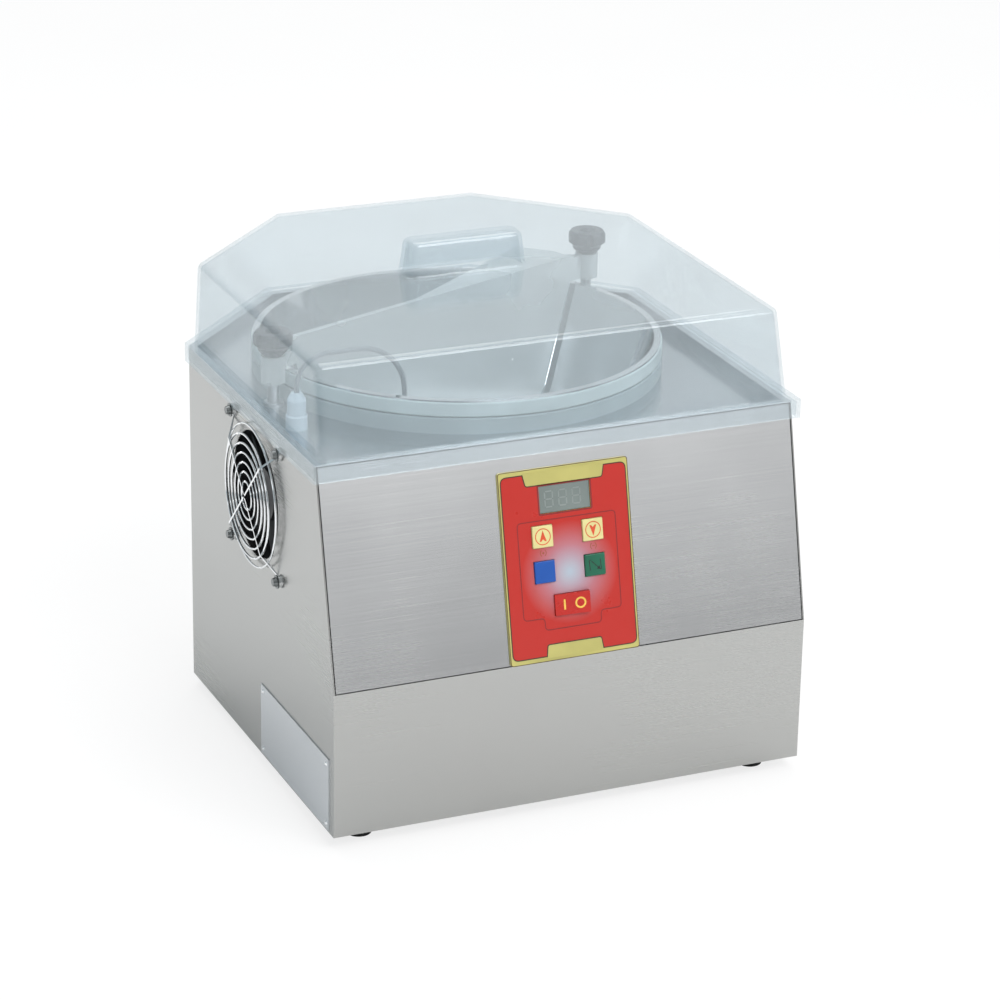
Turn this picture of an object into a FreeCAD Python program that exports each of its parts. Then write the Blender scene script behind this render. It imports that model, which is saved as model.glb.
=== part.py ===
import FreeCAD, Part

import math
import os
from types import SimpleNamespace

import Sketcher
from FreeCAD import Placement, Rotation, Vector

# A bench-top chocolate tempering machine. Row frame: millimetres, +X to the operator's right, +Y to
# the back, +Z up. The origin lies on the floor, under the middle of the casing.

X_AXIS = Vector(1, 0, 0)
Y_AXIS = Vector(0, 1, 0)
Z_AXIS = Vector(0, 0, 1)

# name, value (mm or degrees), what it is
SIZES = [
    ("casing_width", 397.0, "casing, left to right"),
    ("casing_depth", 434.0, "casing, front to back"),
    ("casing_height", 289.0, "casing, lower edge to top rim"),
    ("corner_cut", 107.0, "length cut off each rear corner, along the side and along the back"),
    ("break_height", 119.0, "upright lower front, above the casing's lower edge"),
    ("front_lean_angle", 13.1, "lean of the upper front, from upright"),
    ("casing_sheet", 1.2, "steel sheet of the casing"),
    ("fold_width", 12.0, "folded-in edge of the casing sheet"),
    ("panel_gap", 0.8, "shadow gap round the front panel"),
    ("panel_return", 14.0, "depth of the front panel's folded sides"),
    ("seat_gap", 0.3, "clearance between covers that lift or slide over each other"),
    ("foot_gap", 11.0, "casing's lower edge above the floor"),
    ("pan_recess", 2.0, "base pan above the casing's lower edge"),
    ("pan_sheet", 1.5, "steel sheet of the base pan"),
    ("pan_depth", 16.0, "height of the base pan's edge"),
    ("foot_radius", 12.5, "foot, at the pan"),
    ("foot_taper", 2.5, "foot, how much smaller it is at the floor"),
    ("front_foot_side_inset", 30.0, "front foot centre from the casing's side"),
    ("front_foot_inset", 25.0, "front foot centre from the casing's front"),
    ("rear_foot_half_track", 92.0, "rear foot centre from the middle"),
    ("rear_foot_inset", 34.0, "rear foot centre from the casing's back"),
    ("deck_sheet", 1.0, "steel sheet of the deck"),
    ("deck_rim", 5.0, "flat rim of the deck"),
    ("deck_drop", 10.0, "depth of the deck's tray below its rim"),
    ("bowl_back_offset", 24.0, "bowl axis behind the casing's middle"),
    ("ring_radius", 165.5, "outer radius of both rings round the bowl"),
    ("ring_band", 13.0, "height of each ring"),
    ("ring_wall", 6.0, "wall of the fixed ring"),
    ("turning_gap", 0.8, "running gap under the ring that turns"),
    ("mouth_radius", 159.0, "bowl, inner radius at the mouth"),
    ("bowl_floor_radius", 128.0, "bowl, inner radius where wall and floor would meet"),
    ("bowl_depth", 100.0, "bowl, mouth to floor"),
    ("bowl_corner", 24.0, "bowl, inner corner radius"),
    ("bowl_sheet", 1.2, "bowl sheet"),
    ("lip_width", 5.6, "bowl's flat lip"),
    ("hub_radius", 45.0, "hub under the bowl"),
    ("turntable_radius", 60.0, "turntable"),
    ("turntable_thickness", 6.0, "turntable"),
    ("drive_pin_radius", 4.0, "pins that drive the bowl's hub"),
    ("drive_pin_circle", 32.0, "radius of the circle of the drive pins"),
    ("shaft_radius", 8.0, "drive shaft"),
    ("shaft_fit", 0.05, "radial clearance of running shafts"),
    ("bridge_width", 150.0, "motor bridge, over its legs"),
    ("bridge_depth", 110.0, "motor bridge, front to back"),
    ("bridge_height", 138.0, "motor bridge, above the pan"),
    ("bridge_sheet", 2.5, "motor bridge sheet"),
    ("bridge_foot", 22.0, "motor bridge, width of its feet"),
    ("gearbox_radius", 38.0, "gearbox"),
    ("gearbox_height", 42.0, "gearbox"),
    ("motor_radius", 31.0, "motor"),
    ("motor_height", 66.0, "motor"),
    ("bearing_height", 36.0, "bearing housing above the bridge"),
    ("shroud_radius", 112.0, "heater shroud"),
    ("shroud_lift", 26.0, "heater shroud above the bridge"),
    ("shroud_wall_height", 16.0, "heater shroud's edge"),
    ("heater_radius", 92.0, "heating ring, centre line"),
    ("heater_tube", 4.0, "heating ring, tube radius"),
    ("heater_lift", 20.0, "heating ring's centre line above the shroud floor"),
    ("divider_angle", 21.3, "divider, turned from the casing's width"),
    ("divider_offset", 25.0, "divider's middle plane behind the bowl axis"),
    ("divider_sheet", 5.0, "divider's thickness"),
    ("divider_rise", 25.0, "divider's top above the bowl's lip"),
    ("divider_clearance", 2.5, "divider to the bowl it stands in"),
    ("post_circle", 177.0, "radius of the circle of the two posts"),
    ("post_radius", 4.5, "post, below its shoulder"),
    ("post_foot_radius", 8.0, "post's foot on the deck"),
    ("stud_radius", 3.0, "post's threaded end"),
    ("stud_tail", 7.5, "post's thread below the deck's face"),
    ("stud_fit", 0.3, "radial clearance round the studs"),
    ("boss_radius", 9.5, "divider's end bosses"),
    ("left_boss_top", 41.0, "top of the left boss above the deck"),
    ("left_boss_length", 22.0, "left boss"),
    ("right_boss_top", 50.0, "top of the right boss above the deck"),
    ("shelf_sheet", 3.0, "shelf behind the divider"),
    ("knob_radius", 15.5, "clamp knob's head"),
    ("knob_height", 19.5, "clamp knob without its cap"),
    ("knob_hub_radius", 11.8, "clamp knob's hub"),
    ("knob_hub_foot", 7.5, "clamp knob's hub, radius at its foot"),
    ("knob_hub_height", 9.0, "clamp knob's hub"),
    ("knob_cap_radius", 6.0, "clamp knob's cap"),
    ("knob_cap_height", 2.6, "clamp knob's cap"),
    ("knob_flute_radius", 3.2, "hollows between the knob's lobes"),
    ("knob_lobes", 7.0, "lobes of a clamp knob"),
    ("gland_x", -173.4, "probe gland, across"),
    ("gland_y", -71.7, "probe gland, front to back"),
    ("gland_radius", 8.5, "probe gland's body"),
    ("gland_height", 29.0, "probe gland above the deck"),
    ("probe_radius", 2.0, "probe arm's tube"),
    ("probe_peak", 348.0, "probe arm's level run above the floor"),
    ("probe_reach", 89.0, "probe arm, from the gland to the tip, across"),
    ("probe_gland_bend", 26.0, "probe arm's bend above the gland, radius"),
    ("probe_bowl_bend", 38.0, "probe arm's bend above the bowl, radius"),
    ("probe_drop", 26.0, "lower end of the arm below the bowl's lip"),
    ("probe_tip_radius", 3.6, "probe tip"),
    ("probe_tip_length", 46.0, "probe tip"),
    ("hood_sheet", 2.5, "clear hood's sheet"),
    ("hood_foot_inset", 2.6, "foot of the hood's walls, inside the casing's side"),
    ("hood_front_inset", 0.8, "foot of the hood's front wall, behind the casing's top front edge"),
    ("hood_lean", 2.6, "lean of the hood's walls, from upright"),
    ("hood_front_lean", 13.5, "lean of the hood's front wall, from upright"),
    ("hood_play", 1.8, "clearance of the hood's skirt to the casing, each side"),
    ("hood_shift", 1.5, "hood's rest, right of the casing's middle"),
    ("hood_rise", 72.0, "hood's top above the casing's rim"),
    ("hood_skirt", 12.5, "hood's skirt below the rim"),
    ("hood_corner", 7.0, "hood's rounded edges"),
    ("grip_length", 104.0, "hood's grip, at its foot"),
    ("grip_width", 31.0, "hood's grip, at its foot"),
    ("grip_height", 28.0, "hood's grip"),
    ("grip_lean", 5.7, "lean of the grip's sides, from upright"),
    ("grip_flare", 3.0, "radius round the grip's foot"),
    ("grip_corner", 8.0, "grip's rounded edges"),
    ("grip_y", 19.0, "grip's middle, behind the casing's middle"),
    ("fan_y", -47.2, "fan axis, front to back"),
    ("fan_z", 229.2, "fan axis above the floor"),
    ("fan_size", 119.0, "fan frame, square"),
    ("fan_depth", 38.0, "fan frame"),
    ("fan_bore", 57.0, "fan's air way, radius"),
    ("fan_opening", 51.0, "casing's opening in front of the fan, radius"),
    ("fan_wall", 2.5, "wall of the fan's duct"),
    ("fan_flange", 4.0, "thickness of the fan's square flanges"),
    ("fan_pitch", 105.0, "fan's screw holes, square"),
    ("fan_hole", 2.15, "fan's screw holes, radius"),
    ("fan_screw_radius", 1.9, "fan screws"),
    ("fan_hub", 21.0, "fan motor, radius"),
    ("fan_rotor_height", 27.0, "fan's turning hub, depth"),
    ("fan_hub_top", 2.0, "closed end of the fan's turning hub"),
    ("fan_axle", 3.0, "fan's axle, radius"),
    ("cup_floor", 4.0, "fan's motor mount and struts, thickness"),
    ("fan_strut", 5.0, "fan's struts, width"),
    ("fan_blade", 1.6, "fan blades, thickness"),
    ("fan_blade_lean", 38.0, "fan blades' lean"),
    ("fan_screw_grip", 12.0, "fan screws' length in the casing and the fan"),
    ("fan_tip_gap", 2.0, "fan blades to the air way"),
    ("guard_wire", 0.85, "guard wires, half their thickness"),
    ("guard_rise", 7.2, "guard rings' middle plane above the casing"),
    ("guard_outer_rise", 3.95, "outermost ring's middle plane above the casing"),
    ("guard_inner", 11.3, "innermost guard ring, radius"),
    ("guard_step", 7.6, "distance between guard rings"),
    ("guard_rings", 7.0, "number of guard rings"),
    ("guard_knee", 50.5, "bend in the guard's spokes, radius"),
    ("guard_loop", 4.0, "guard's screw loops, radius"),
    ("screw_head", 5.4, "fan screws' washers, radius"),
    ("plate_width", 108.6, "control plate"),
    ("plate_length", 150.0, "control plate, up the slope"),
    ("plate_thickness", 1.6, "control plate"),
    ("plate_corner", 2.5, "control plate's corner radius"),
    ("key_size", 17.0, "square keys"),
    ("key_column", 21.0, "keys' middle from the control plate's middle"),
    ("upper_key_row", 97.3, "upper keys, up the slope"),
    ("lower_key_row", 69.8, "lower keys, up the slope"),
    ("key_clearance", 0.3, "keys to their openings"),
    ("key_proud", 1.7, "keys above the control plate"),
    ("key_travel", 1.0, "key travel"),
    ("display_width", 42.0, "display window"),
    ("display_height", 20.8, "display window"),
    ("display_recess", 0.6, "display window below the control plate's face"),
    ("display_row", 125.2, "display's middle, up the slope"),
    ("rocker_width", 28.6, "mains rocker, across"),
    ("rocker_length", 16.4, "mains rocker, up the slope"),
    ("rocker_row", 42.8, "rocker's middle, up the slope"),
    ("rocker_clearance", 0.6, "rocker to its opening"),
    ("rocker_tilt", 5.0, "rocker's tilt to each side"),
    ("board_depth", 12.0, "control board behind the front"),
    ("board_thickness", 1.6, "control board"),
    ("label_width", 150.0, "side plate, front to back"),
    ("label_height", 60.0, "side plate"),
    ("label_thickness", 0.8, "side plate"),
    ("label_y", -133.0, "side plate's middle"),
    ("label_z", 43.0, "side plate's middle above the floor"),
    ("rear_panel_width", 184.0, "service panel on the back"),
    ("rear_panel_height", 210.0, "service panel on the back"),
    ("rear_panel_z", 148.0, "service panel's middle above the floor"),
    ("rear_overlap", 12.0, "service panel over its opening's edge"),
    ("inlet_width", 27.0, "mains inlet's cut-out"),
    ("inlet_height", 20.0, "mains inlet's cut-out"),
    ("inlet_x", -55.0, "mains inlet, across"),
    ("inlet_z", 72.0, "mains inlet's middle above the floor"),
]


class Size:
    """A length or angle known both as a number and as an expression over the sheet."""

    def __init__(self, text, value):
        self.text = text
        self.value = value

    def __add__(self, other):
        return joined(self, "+", other, self.value + number(other))

    def __radd__(self, other):
        return joined(other, "+", self, number(other) + self.value)

    def __sub__(self, other):
        return joined(self, "-", other, self.value - number(other))

    def __rsub__(self, other):
        return joined(other, "-", self, number(other) - self.value)

    def __mul__(self, other):
        return joined(self, "*", other, self.value * number(other))

    def __rmul__(self, other):
        return joined(other, "*", self, number(other) * self.value)

    def __truediv__(self, other):
        return joined(self, "/", other, self.value / number(other))

    def __rtruediv__(self, other):
        return joined(other, "/", self, number(other) / self.value)

    def __neg__(self):
        return joined(0, "-", self, -self.value)


def number(size):
    """The plain number of a size."""
    return size.value if isinstance(size, Size) else float(size)


def text(size):
    """The sheet expression of a size."""
    return size.text if isinstance(size, Size) else "(%r)" % float(size)


def joined(left, sign, right, value):
    """The size that left, sign and right make together."""
    return Size("(%s %s %s)" % (text(left), sign, text(right)), value)


def sine(angle):
    """The sine of an angle in degrees."""
    return Size("sin(%s * 1deg)" % text(angle), math.sin(math.radians(number(angle))))


def cosine(angle):
    """The cosine of an angle in degrees."""
    return Size("cos(%s * 1deg)" % text(angle), math.cos(math.radians(number(angle))))


def root(area):
    """The square root of a product of two sizes."""
    return Size("sqrt(%s)" % text(area), math.sqrt(number(area)))


def make_sheet(document):
    """Write the driving sizes to the sheet and hand them back by name."""
    sheet = document.addObject("Spreadsheet::Sheet", "Sizes")
    for row, (name, value, note) in enumerate(SIZES, start=1):
        sheet.set("A%d" % row, name)
        sheet.set("B%d" % row, str(value))
        sheet.set("C%d" % row, note)
        sheet.setAlias("B%d" % row, name)
    document.recompute()
    named = {name: Size("Sizes." + name, float(sheet.get(name))) for name, _, _ in SIZES}
    return SimpleNamespace(**named)


doc = FreeCAD.newDocument("TemperingMachine")
S = make_sheet(doc)
nodes = {}


# ---- building blocks ----

def bind(thing, prop, size):
    """Set a property to a size and tie it to the sheet."""
    setattr(thing, prop, number(size))
    if isinstance(size, Size):
        thing.setExpression(prop, size.text)


def place(thing, x=0, y=0, z=0, axis=Z_AXIS, angle=0):
    """Put a thing at a point, turned about an axis."""
    spot = Vector(number(x), number(y), number(z))
    thing.Placement = Placement(spot, Rotation(axis, number(angle)))
    for letter, size in (("x", x), ("y", y), ("z", z)):
        if isinstance(size, Size):
            thing.setExpression("Placement.Base." + letter, size.text)
    return thing


def keep(name, thing):
    """Give a finished sub-part its name."""
    thing.Label = name
    nodes[name] = thing
    return thing


def box(length, width, height, x=0, y=0, z=0):
    """A block whose near lower left corner is at a point."""
    block = doc.addObject("Part::Box", "Block")
    bind(block, "Length", length)
    bind(block, "Width", width)
    bind(block, "Height", height)
    return place(block, x, y, z)


def centred_box(length, width, height, x=0, y=0, z=0):
    """A block that stands on a point, centred over it."""
    return box(length, width, height, x - length / 2, y - width / 2, z)


def cylinder(radius, height, x=0, y=0, z=0, axis=Z_AXIS, angle=0):
    """A cylinder that stands on a point."""
    rod = doc.addObject("Part::Cylinder", "Rod")
    bind(rod, "Radius", radius)
    bind(rod, "Height", height)
    return place(rod, x, y, z, axis, angle)


def cone(low_radius, high_radius, height, x=0, y=0, z=0):
    """A cone stump that stands on a point."""
    stump = doc.addObject("Part::Cone", "Stump")
    bind(stump, "Radius1", low_radius)
    bind(stump, "Radius2", high_radius)
    bind(stump, "Height", height)
    return place(stump, x, y, z)


def fuse(*parts):
    """Several parts as one."""
    whole = doc.addObject("Part::MultiFuse", "Fused")
    whole.Shapes = list(parts)
    return whole


def cut(base, *tools):
    """A part with others taken out of it."""
    rest = doc.addObject("Part::Cut", "Cut")
    rest.Base = base
    rest.Tool = tools[0] if len(tools) == 1 else fuse(*tools)
    return rest


def common(first, second):
    """What two parts share."""
    shared = doc.addObject("Part::MultiCommon", "Common")
    shared.Shapes = [first, second]
    return shared


def group(*parts):
    """Separate solids in one sub-part."""
    several = doc.addObject("Part::Compound", "Group")
    several.Links = list(parts)
    return several


def new_body():
    """An empty PartDesign body."""
    return doc.addObject("PartDesign::Body", "Body")


def sketch_on(body, role, lift=0):
    """A sketch on one of the body's origin planes, lifted along the plane's normal."""
    sketch = body.newObject("Sketcher::SketchObject", "Sketch")
    plane = next(f for f in body.Origin.OriginFeatures if f.Role == role)
    sketch.AttachmentSupport = [(plane, "")]
    sketch.MapMode = "FlatFace"
    sketch.AttachmentOffset = Placement(Vector(0, 0, number(lift)), Rotation())
    if isinstance(lift, Size):
        sketch.setExpression("AttachmentOffset.Base.z", lift.text)
    return sketch


def pin_point(sketch, geometry, end, x, y):
    """Hold one end of a line, or a centre, at a point."""
    for kind, size, axis in (("DistanceX", x, -2), ("DistanceY", y, -1)):
        if not isinstance(size, Size) and size == 0:
            sketch.addConstraint(Sketcher.Constraint("PointOnObject", geometry, end, axis))
            continue
        rule = Sketcher.Constraint(kind, -1, 1, geometry, end, number(size))
        index = sketch.addConstraint(rule)
        if isinstance(size, Size):
            sketch.setExpression("Constraints[%d]" % index, size.text)


def add_loop(sketch, points):
    """A closed outline of straight lines through the points."""
    first = sketch.GeometryCount
    count = len(points)
    corners = [Vector(number(x), number(y), 0) for x, y in points]
    lines = [Part.LineSegment(corners[i], corners[(i + 1) % count]) for i in range(count)]
    sketch.addGeometry(lines, False)
    meets = [Sketcher.Constraint("Coincident", first + i, 2, first + (i + 1) % count, 1)
             for i in range(count)]
    sketch.addConstraint(meets)
    for i, (x, y) in enumerate(points):
        pin_point(sketch, first + i, 1, x, y)


def add_rectangle(sketch, x, y, width, height):
    """A rectangle round a centre."""
    left = x - width / 2
    right = x + width / 2
    low = y - height / 2
    high = y + height / 2
    add_loop(sketch, [(left, low), (right, low), (right, high), (left, high)])


def add_circle(sketch, x, y, radius):
    """A circle round a centre."""
    ring = Part.Circle(Vector(number(x), number(y), 0), Z_AXIS, number(radius))
    index = sketch.addGeometry(ring, False)
    pin_point(sketch, index, 3, x, y)
    rule = sketch.addConstraint(Sketcher.Constraint("Radius", index, number(radius)))
    if isinstance(radius, Size):
        sketch.setExpression("Constraints[%d]" % rule, radius.text)


def pad(body, sketch, length, back=False, centred=False):
    """Material added along the sketch's normal."""
    feature = body.newObject("PartDesign::Pad", "Pad")
    feature.Profile = sketch
    bind(feature, "Length", length)
    feature.Reversed = back
    if centred:
        feature.SideType = "Symmetric"
    return feature


def pocket(body, sketch, length, back=False, centred=False):
    """Material taken away, and proof that some was."""
    doc.recompute()
    before = body.Shape.Volume
    feature = body.newObject("PartDesign::Pocket", "Pocket")
    feature.Profile = sketch
    bind(feature, "Length", length)
    feature.Reversed = back
    if centred:
        feature.SideType = "Symmetric"
    doc.recompute()
    if before - body.Shape.Volume < 1e-6:
        raise ValueError("a pocket cut nothing in " + body.Label)
    return feature


def revolve(body, sketch):
    """Material turned round the sketch's upright axis."""
    feature = body.newObject("PartDesign::Revolution", "Revolution")
    feature.Profile = sketch
    feature.ReferenceAxis = (sketch, ["V_Axis"])
    feature.Angle = 360
    return feature


def round_edges(body, radius, wanted):
    """Round the edges that the test picks."""
    doc.recompute()
    tip = body.Tip
    names = ["Edge%d" % i for i, edge in enumerate(tip.Shape.Edges, start=1) if wanted(edge)]
    feature = body.newObject("PartDesign::Fillet", "Fillet")
    feature.Base = (tip, names)
    bind(feature, "Radius", radius)
    return feature


def upright(edge):
    """True for a straight edge along the local Z axis."""
    if edge.Curve.TypeId != "Part::GeomLine":
        return False
    return abs(abs(edge.tangentAt(edge.FirstParameter).z) - 1) < 1e-6


def turned(profile):
    """A body turned from a closed profile of (radius, height) points."""
    body = new_body()
    sketch = sketch_on(body, "XZ_Plane")
    add_loop(sketch, profile)
    revolve(body, sketch)
    return body


def slab(outline, thickness, *holes):
    """A flat body: an outline padded upward, less round holes given as (x, y, radius)."""
    body = new_body()
    sketch = sketch_on(body, "XY_Plane")
    add_loop(sketch, outline)
    for x, y, radius in holes:
        add_circle(sketch, x, y, radius)
    pad(body, sketch, thickness)
    return body


# ---- places that several sub-parts share ----

HALF_WIDTH = S.casing_width / 2
HALF_DEPTH = S.casing_depth / 2
BREAK_Z = S.foot_gap + S.break_height
TOP_Z = S.foot_gap + S.casing_height
DECK_Z = TOP_Z - S.deck_drop
LEAN_TAN = sine(S.front_lean_angle) / cosine(S.front_lean_angle)
LEAN_COS = cosine(S.front_lean_angle)
SLOPE_LENGTH = (TOP_Z - BREAK_Z) / LEAN_COS
TOP_FRONT_Y = (TOP_Z - BREAK_Z) * LEAN_TAN - HALF_DEPTH
PAN_TOP_Z = S.foot_gap + S.pan_recess + S.pan_sheet
BRIDGE_TOP_Z = PAN_TOP_Z + S.bridge_height
BOWL_Y = S.bowl_back_offset
LIP_Z = DECK_Z + S.ring_band * 2 + S.turning_gap
BOWL_FLOOR_Z = LIP_Z - S.bowl_depth
TILT = 90 - S.front_lean_angle
CORNER_SHARE = math.tan(math.radians(22.5))


def plan(inset, front):
    """The casing's six-cornered plan, moved in by inset, with its front edge at front."""
    side = HALF_WIDTH - inset
    back = HALF_DEPTH - inset
    side_end = HALF_DEPTH - S.corner_cut - inset * CORNER_SHARE
    back_end = HALF_WIDTH - S.corner_cut - inset * CORNER_SHARE
    right = [(side, front), (side, side_end), (back_end, back)]
    left = [(-x, y) for x, y in reversed(right)]
    return right + left


def on_front(thing, x=0, along=0, out=0):
    """Put a thing on the leaning front: x across, along up the slope, out from its face."""
    y = along * sine(S.front_lean_angle) - out * LEAN_COS - HALF_DEPTH
    z = BREAK_Z + along * LEAN_COS + out * sine(S.front_lean_angle)
    return place(thing, x, y, z, X_AXIS, TILT)


def on_left(thing, out=0, y=0, z=0):
    """Put a thing on the left side: its local Z points out to the left, its local X points up."""
    return place(thing, -HALF_WIDTH - out, y, z, Y_AXIS, -90)


def on_back(thing, x=0, z=0, out=0):
    """Put a thing on the back: its local Z points out to the back, its local Y points up."""
    return place(thing, x, HALF_DEPTH + out, z, Y_AXIS + Z_AXIS, 180)


# ---- the case ----

def casing_form(inset, low, high):
    """The casing's outer form, moved in by inset, between two heights."""
    front = inset - HALF_DEPTH
    back = HALF_DEPTH - inset
    break_z = BREAK_Z - inset * math.tan(math.radians(number(S.front_lean_angle) / 2))
    top_y = inset / LEAN_COS - HALF_DEPTH + (high - BREAK_Z) * LEAN_TAN
    body = new_body()
    side = sketch_on(body, "YZ_Plane")
    add_loop(side, [(front, low), (front, break_z), (top_y, high), (back, high), (back, low)])
    pad(body, side, S.casing_width - inset * 2, centred=True)
    corners = sketch_on(body, "XY_Plane", low)
    right = plan(inset, front)[1:3]
    beyond_x = HALF_WIDTH + 1
    beyond_y = HALF_DEPTH + 1
    add_loop(corners, right
             + [(right[1][0], beyond_y), (beyond_x, beyond_y), (beyond_x, right[0][1])])
    add_loop(corners, [(-x, y) for x, y in right]
             + [(-right[1][0], beyond_y), (-beyond_x, beyond_y), (-beyond_x, right[0][1])])
    pocket(body, corners, high - low, back=True)
    return body


def make_casing():
    """Wrapped sheet: sides, back, clipped corners and upright lower front."""
    top = TOP_Z - S.deck_sheet
    outer = casing_form(0, S.foot_gap, top)
    inner = casing_form(S.casing_sheet, S.foot_gap - 1, top + 1)
    shell = cut(outer, inner)
    side_sheets = S.casing_width - S.casing_sheet * 2
    front_way = box(side_sheets, S.panel_return * 4, top, -side_sheets / 2, -HALF_DEPTH - 1, BREAK_Z)
    fan_way = cylinder(S.fan_opening, S.casing_sheet * 4)
    on_left(fan_way, -S.casing_sheet * 2, S.fan_y, S.fan_z)
    half_pitch = S.fan_pitch / 2
    fan_holes = []
    for up in (-1, 1):
        for across in (-1, 1):
            hole = cylinder(S.fan_hole, S.casing_sheet * 4)
            on_left(hole, -S.casing_sheet * 2, S.fan_y + half_pitch * across, S.fan_z + half_pitch * up)
            fan_holes.append(hole)
    opening_width = S.rear_panel_width - S.rear_overlap * 2
    opening_height = S.rear_panel_height - S.rear_overlap * 2
    rear_way = centred_box(opening_width, S.casing_sheet * 4, opening_height,
                           0, HALF_DEPTH, S.rear_panel_z - opening_height / 2)
    rear_holes = [rear_screw_hole(x, z) for x, z in rear_screw_spots()]
    sheet = cut(shell, front_way, fan_way, rear_way, *fan_holes, *rear_holes)
    keep("casing", fuse(sheet, front_fold(), *deck_folds()))


def front_fold():
    """The inward fold along the top of the lower front."""
    width = S.casing_width - S.casing_sheet * 2
    return box(width, S.fold_width, S.casing_sheet, -width / 2, S.casing_sheet - HALF_DEPTH,
               BREAK_Z - S.casing_sheet * 1.5)


def deck_folds():
    """The inward folds along the top of both sides, which carry the deck."""
    top = TOP_Z - S.deck_sheet - S.casing_sheet
    width = S.deck_rim - S.casing_sheet * 2
    length = S.casing_depth - S.corner_cut - (TOP_FRONT_Y + HALF_DEPTH) - S.fold_width
    x = HALF_WIDTH - S.casing_sheet - width
    front = TOP_FRONT_Y + S.fold_width / 2
    right = box(width, length, S.casing_sheet, x, front, top)
    left = box(width, length, S.casing_sheet, -HALF_WIDTH + S.casing_sheet, front, top)
    return [right, left]


def rear_screw_spots():
    """Across and up, for the six screws of the service panel."""
    x = S.rear_panel_width / 2 - S.rear_overlap / 2
    half = S.rear_panel_height / 2 - S.rear_overlap / 2
    return [(side * x, S.rear_panel_z + half * up) for side in (-1, 1) for up in (-1, 0, 1)]


def rear_screw_hole(x, z):
    """A screw hole through the casing's back."""
    hole = cylinder(S.fan_hole, S.casing_sheet * 4)
    return on_back(hole, x, z, -S.casing_sheet * 2)


def make_base_pan():
    """The shallow tray that closes the case below, with air slots and the feet's holes."""
    inset = S.casing_sheet + S.seat_gap
    body = new_body()
    base = sketch_on(body, "XY_Plane")
    add_loop(base, plan(inset, inset - HALF_DEPTH))
    pad(body, base, S.pan_depth)
    hollow = sketch_on(body, "XY_Plane", S.pan_depth)
    wall = inset + S.pan_sheet
    add_loop(hollow, plan(wall, wall - HALF_DEPTH))
    pocket(body, hollow, S.pan_depth - S.pan_sheet)
    slots = sketch_on(body, "XY_Plane", S.pan_sheet)
    add_rectangle(slots, 105, -70, 5, 90)
    slot_cut = pocket(body, slots, S.pan_sheet)
    row = body.newObject("PartDesign::LinearPattern", "Slots")
    row.Originals = [slot_cut]
    row.Direction = (slots, ["H_Axis"])
    row.Length = 60
    row.Occurrences = 6
    body.Tip = row
    keep("base_pan", place(body, 0, 0, S.foot_gap + S.pan_recess))


def make_feet():
    """Four rubber feet under the base pan."""
    front_x = HALF_WIDTH - S.front_foot_side_inset
    front_y = S.front_foot_inset - HALF_DEPTH
    rear_y = HALF_DEPTH - S.rear_foot_inset
    spots = {
        "front_left_foot": (-front_x, front_y),
        "front_right_foot": (front_x, front_y),
        "rear_left_foot": (-S.rear_foot_half_track, rear_y),
        "rear_right_foot": (S.rear_foot_half_track, rear_y),
    }
    for name, (x, y) in spots.items():
        low = S.foot_radius - S.foot_taper
        keep(name, cone(low, S.foot_radius, S.foot_gap + S.pan_recess, x, y))


def make_deck():
    """The top sheet: a flat rim round a sunk tray, open for the bowl."""
    body = new_body()
    rim = sketch_on(body, "XY_Plane", TOP_Z - S.deck_sheet)
    add_loop(rim, plan(0, TOP_FRONT_Y))
    pad(body, rim, S.deck_sheet)
    inset = S.deck_rim
    under = S.deck_drop + S.deck_sheet
    tray = sketch_on(body, "XY_Plane", TOP_Z - under)
    add_loop(tray, plan(inset, TOP_FRONT_Y + inset))
    pad(body, tray, under)
    hollow = sketch_on(body, "XY_Plane", TOP_Z)
    wall = inset + S.deck_sheet
    add_loop(hollow, plan(wall, TOP_FRONT_Y + wall))
    pocket(body, hollow, S.deck_drop)
    holes = sketch_on(body, "XY_Plane", DECK_Z)
    add_circle(holes, 0, BOWL_Y, S.ring_radius - S.ring_wall)
    for x, y in post_spots():
        add_circle(holes, x, y, S.stud_radius + S.shaft_fit)
    add_circle(holes, S.gland_x, S.gland_y, S.probe_radius * 2)
    pocket(body, holes, S.deck_sheet * 2)
    keep("deck", body)


def make_front_panel():
    """The leaning front sheet with folded sides and an opening behind the control plate."""
    width = S.casing_width - (S.casing_sheet + S.panel_gap) * 2
    low = S.panel_gap
    length = SLOPE_LENGTH - low - S.deck_sheet / LEAN_COS - S.panel_gap
    body = new_body()
    sheet = sketch_on(body, "XY_Plane")
    add_rectangle(sheet, 0, low + length / 2, width, length)
    pad(body, sheet, S.panel_return, back=True)
    hollow = sketch_on(body, "XY_Plane", -S.casing_sheet)
    add_rectangle(hollow, 0, low + length / 2, width - S.casing_sheet * 2, length + 2)
    pocket(body, hollow, S.panel_return)
    ends = sketch_on(body, "XY_Plane", -S.casing_sheet)
    add_rectangle(ends, 0, low, width + 2, S.panel_return)
    pocket(body, ends, S.panel_return)
    opening = sketch_on(body, "XY_Plane")
    margin = 8
    add_rectangle(opening, 0, S.plate_length / 2, S.plate_width - margin, S.plate_length - margin * 2)
    pocket(body, opening, S.casing_sheet)
    keep("front_panel", on_front(body))


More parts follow.
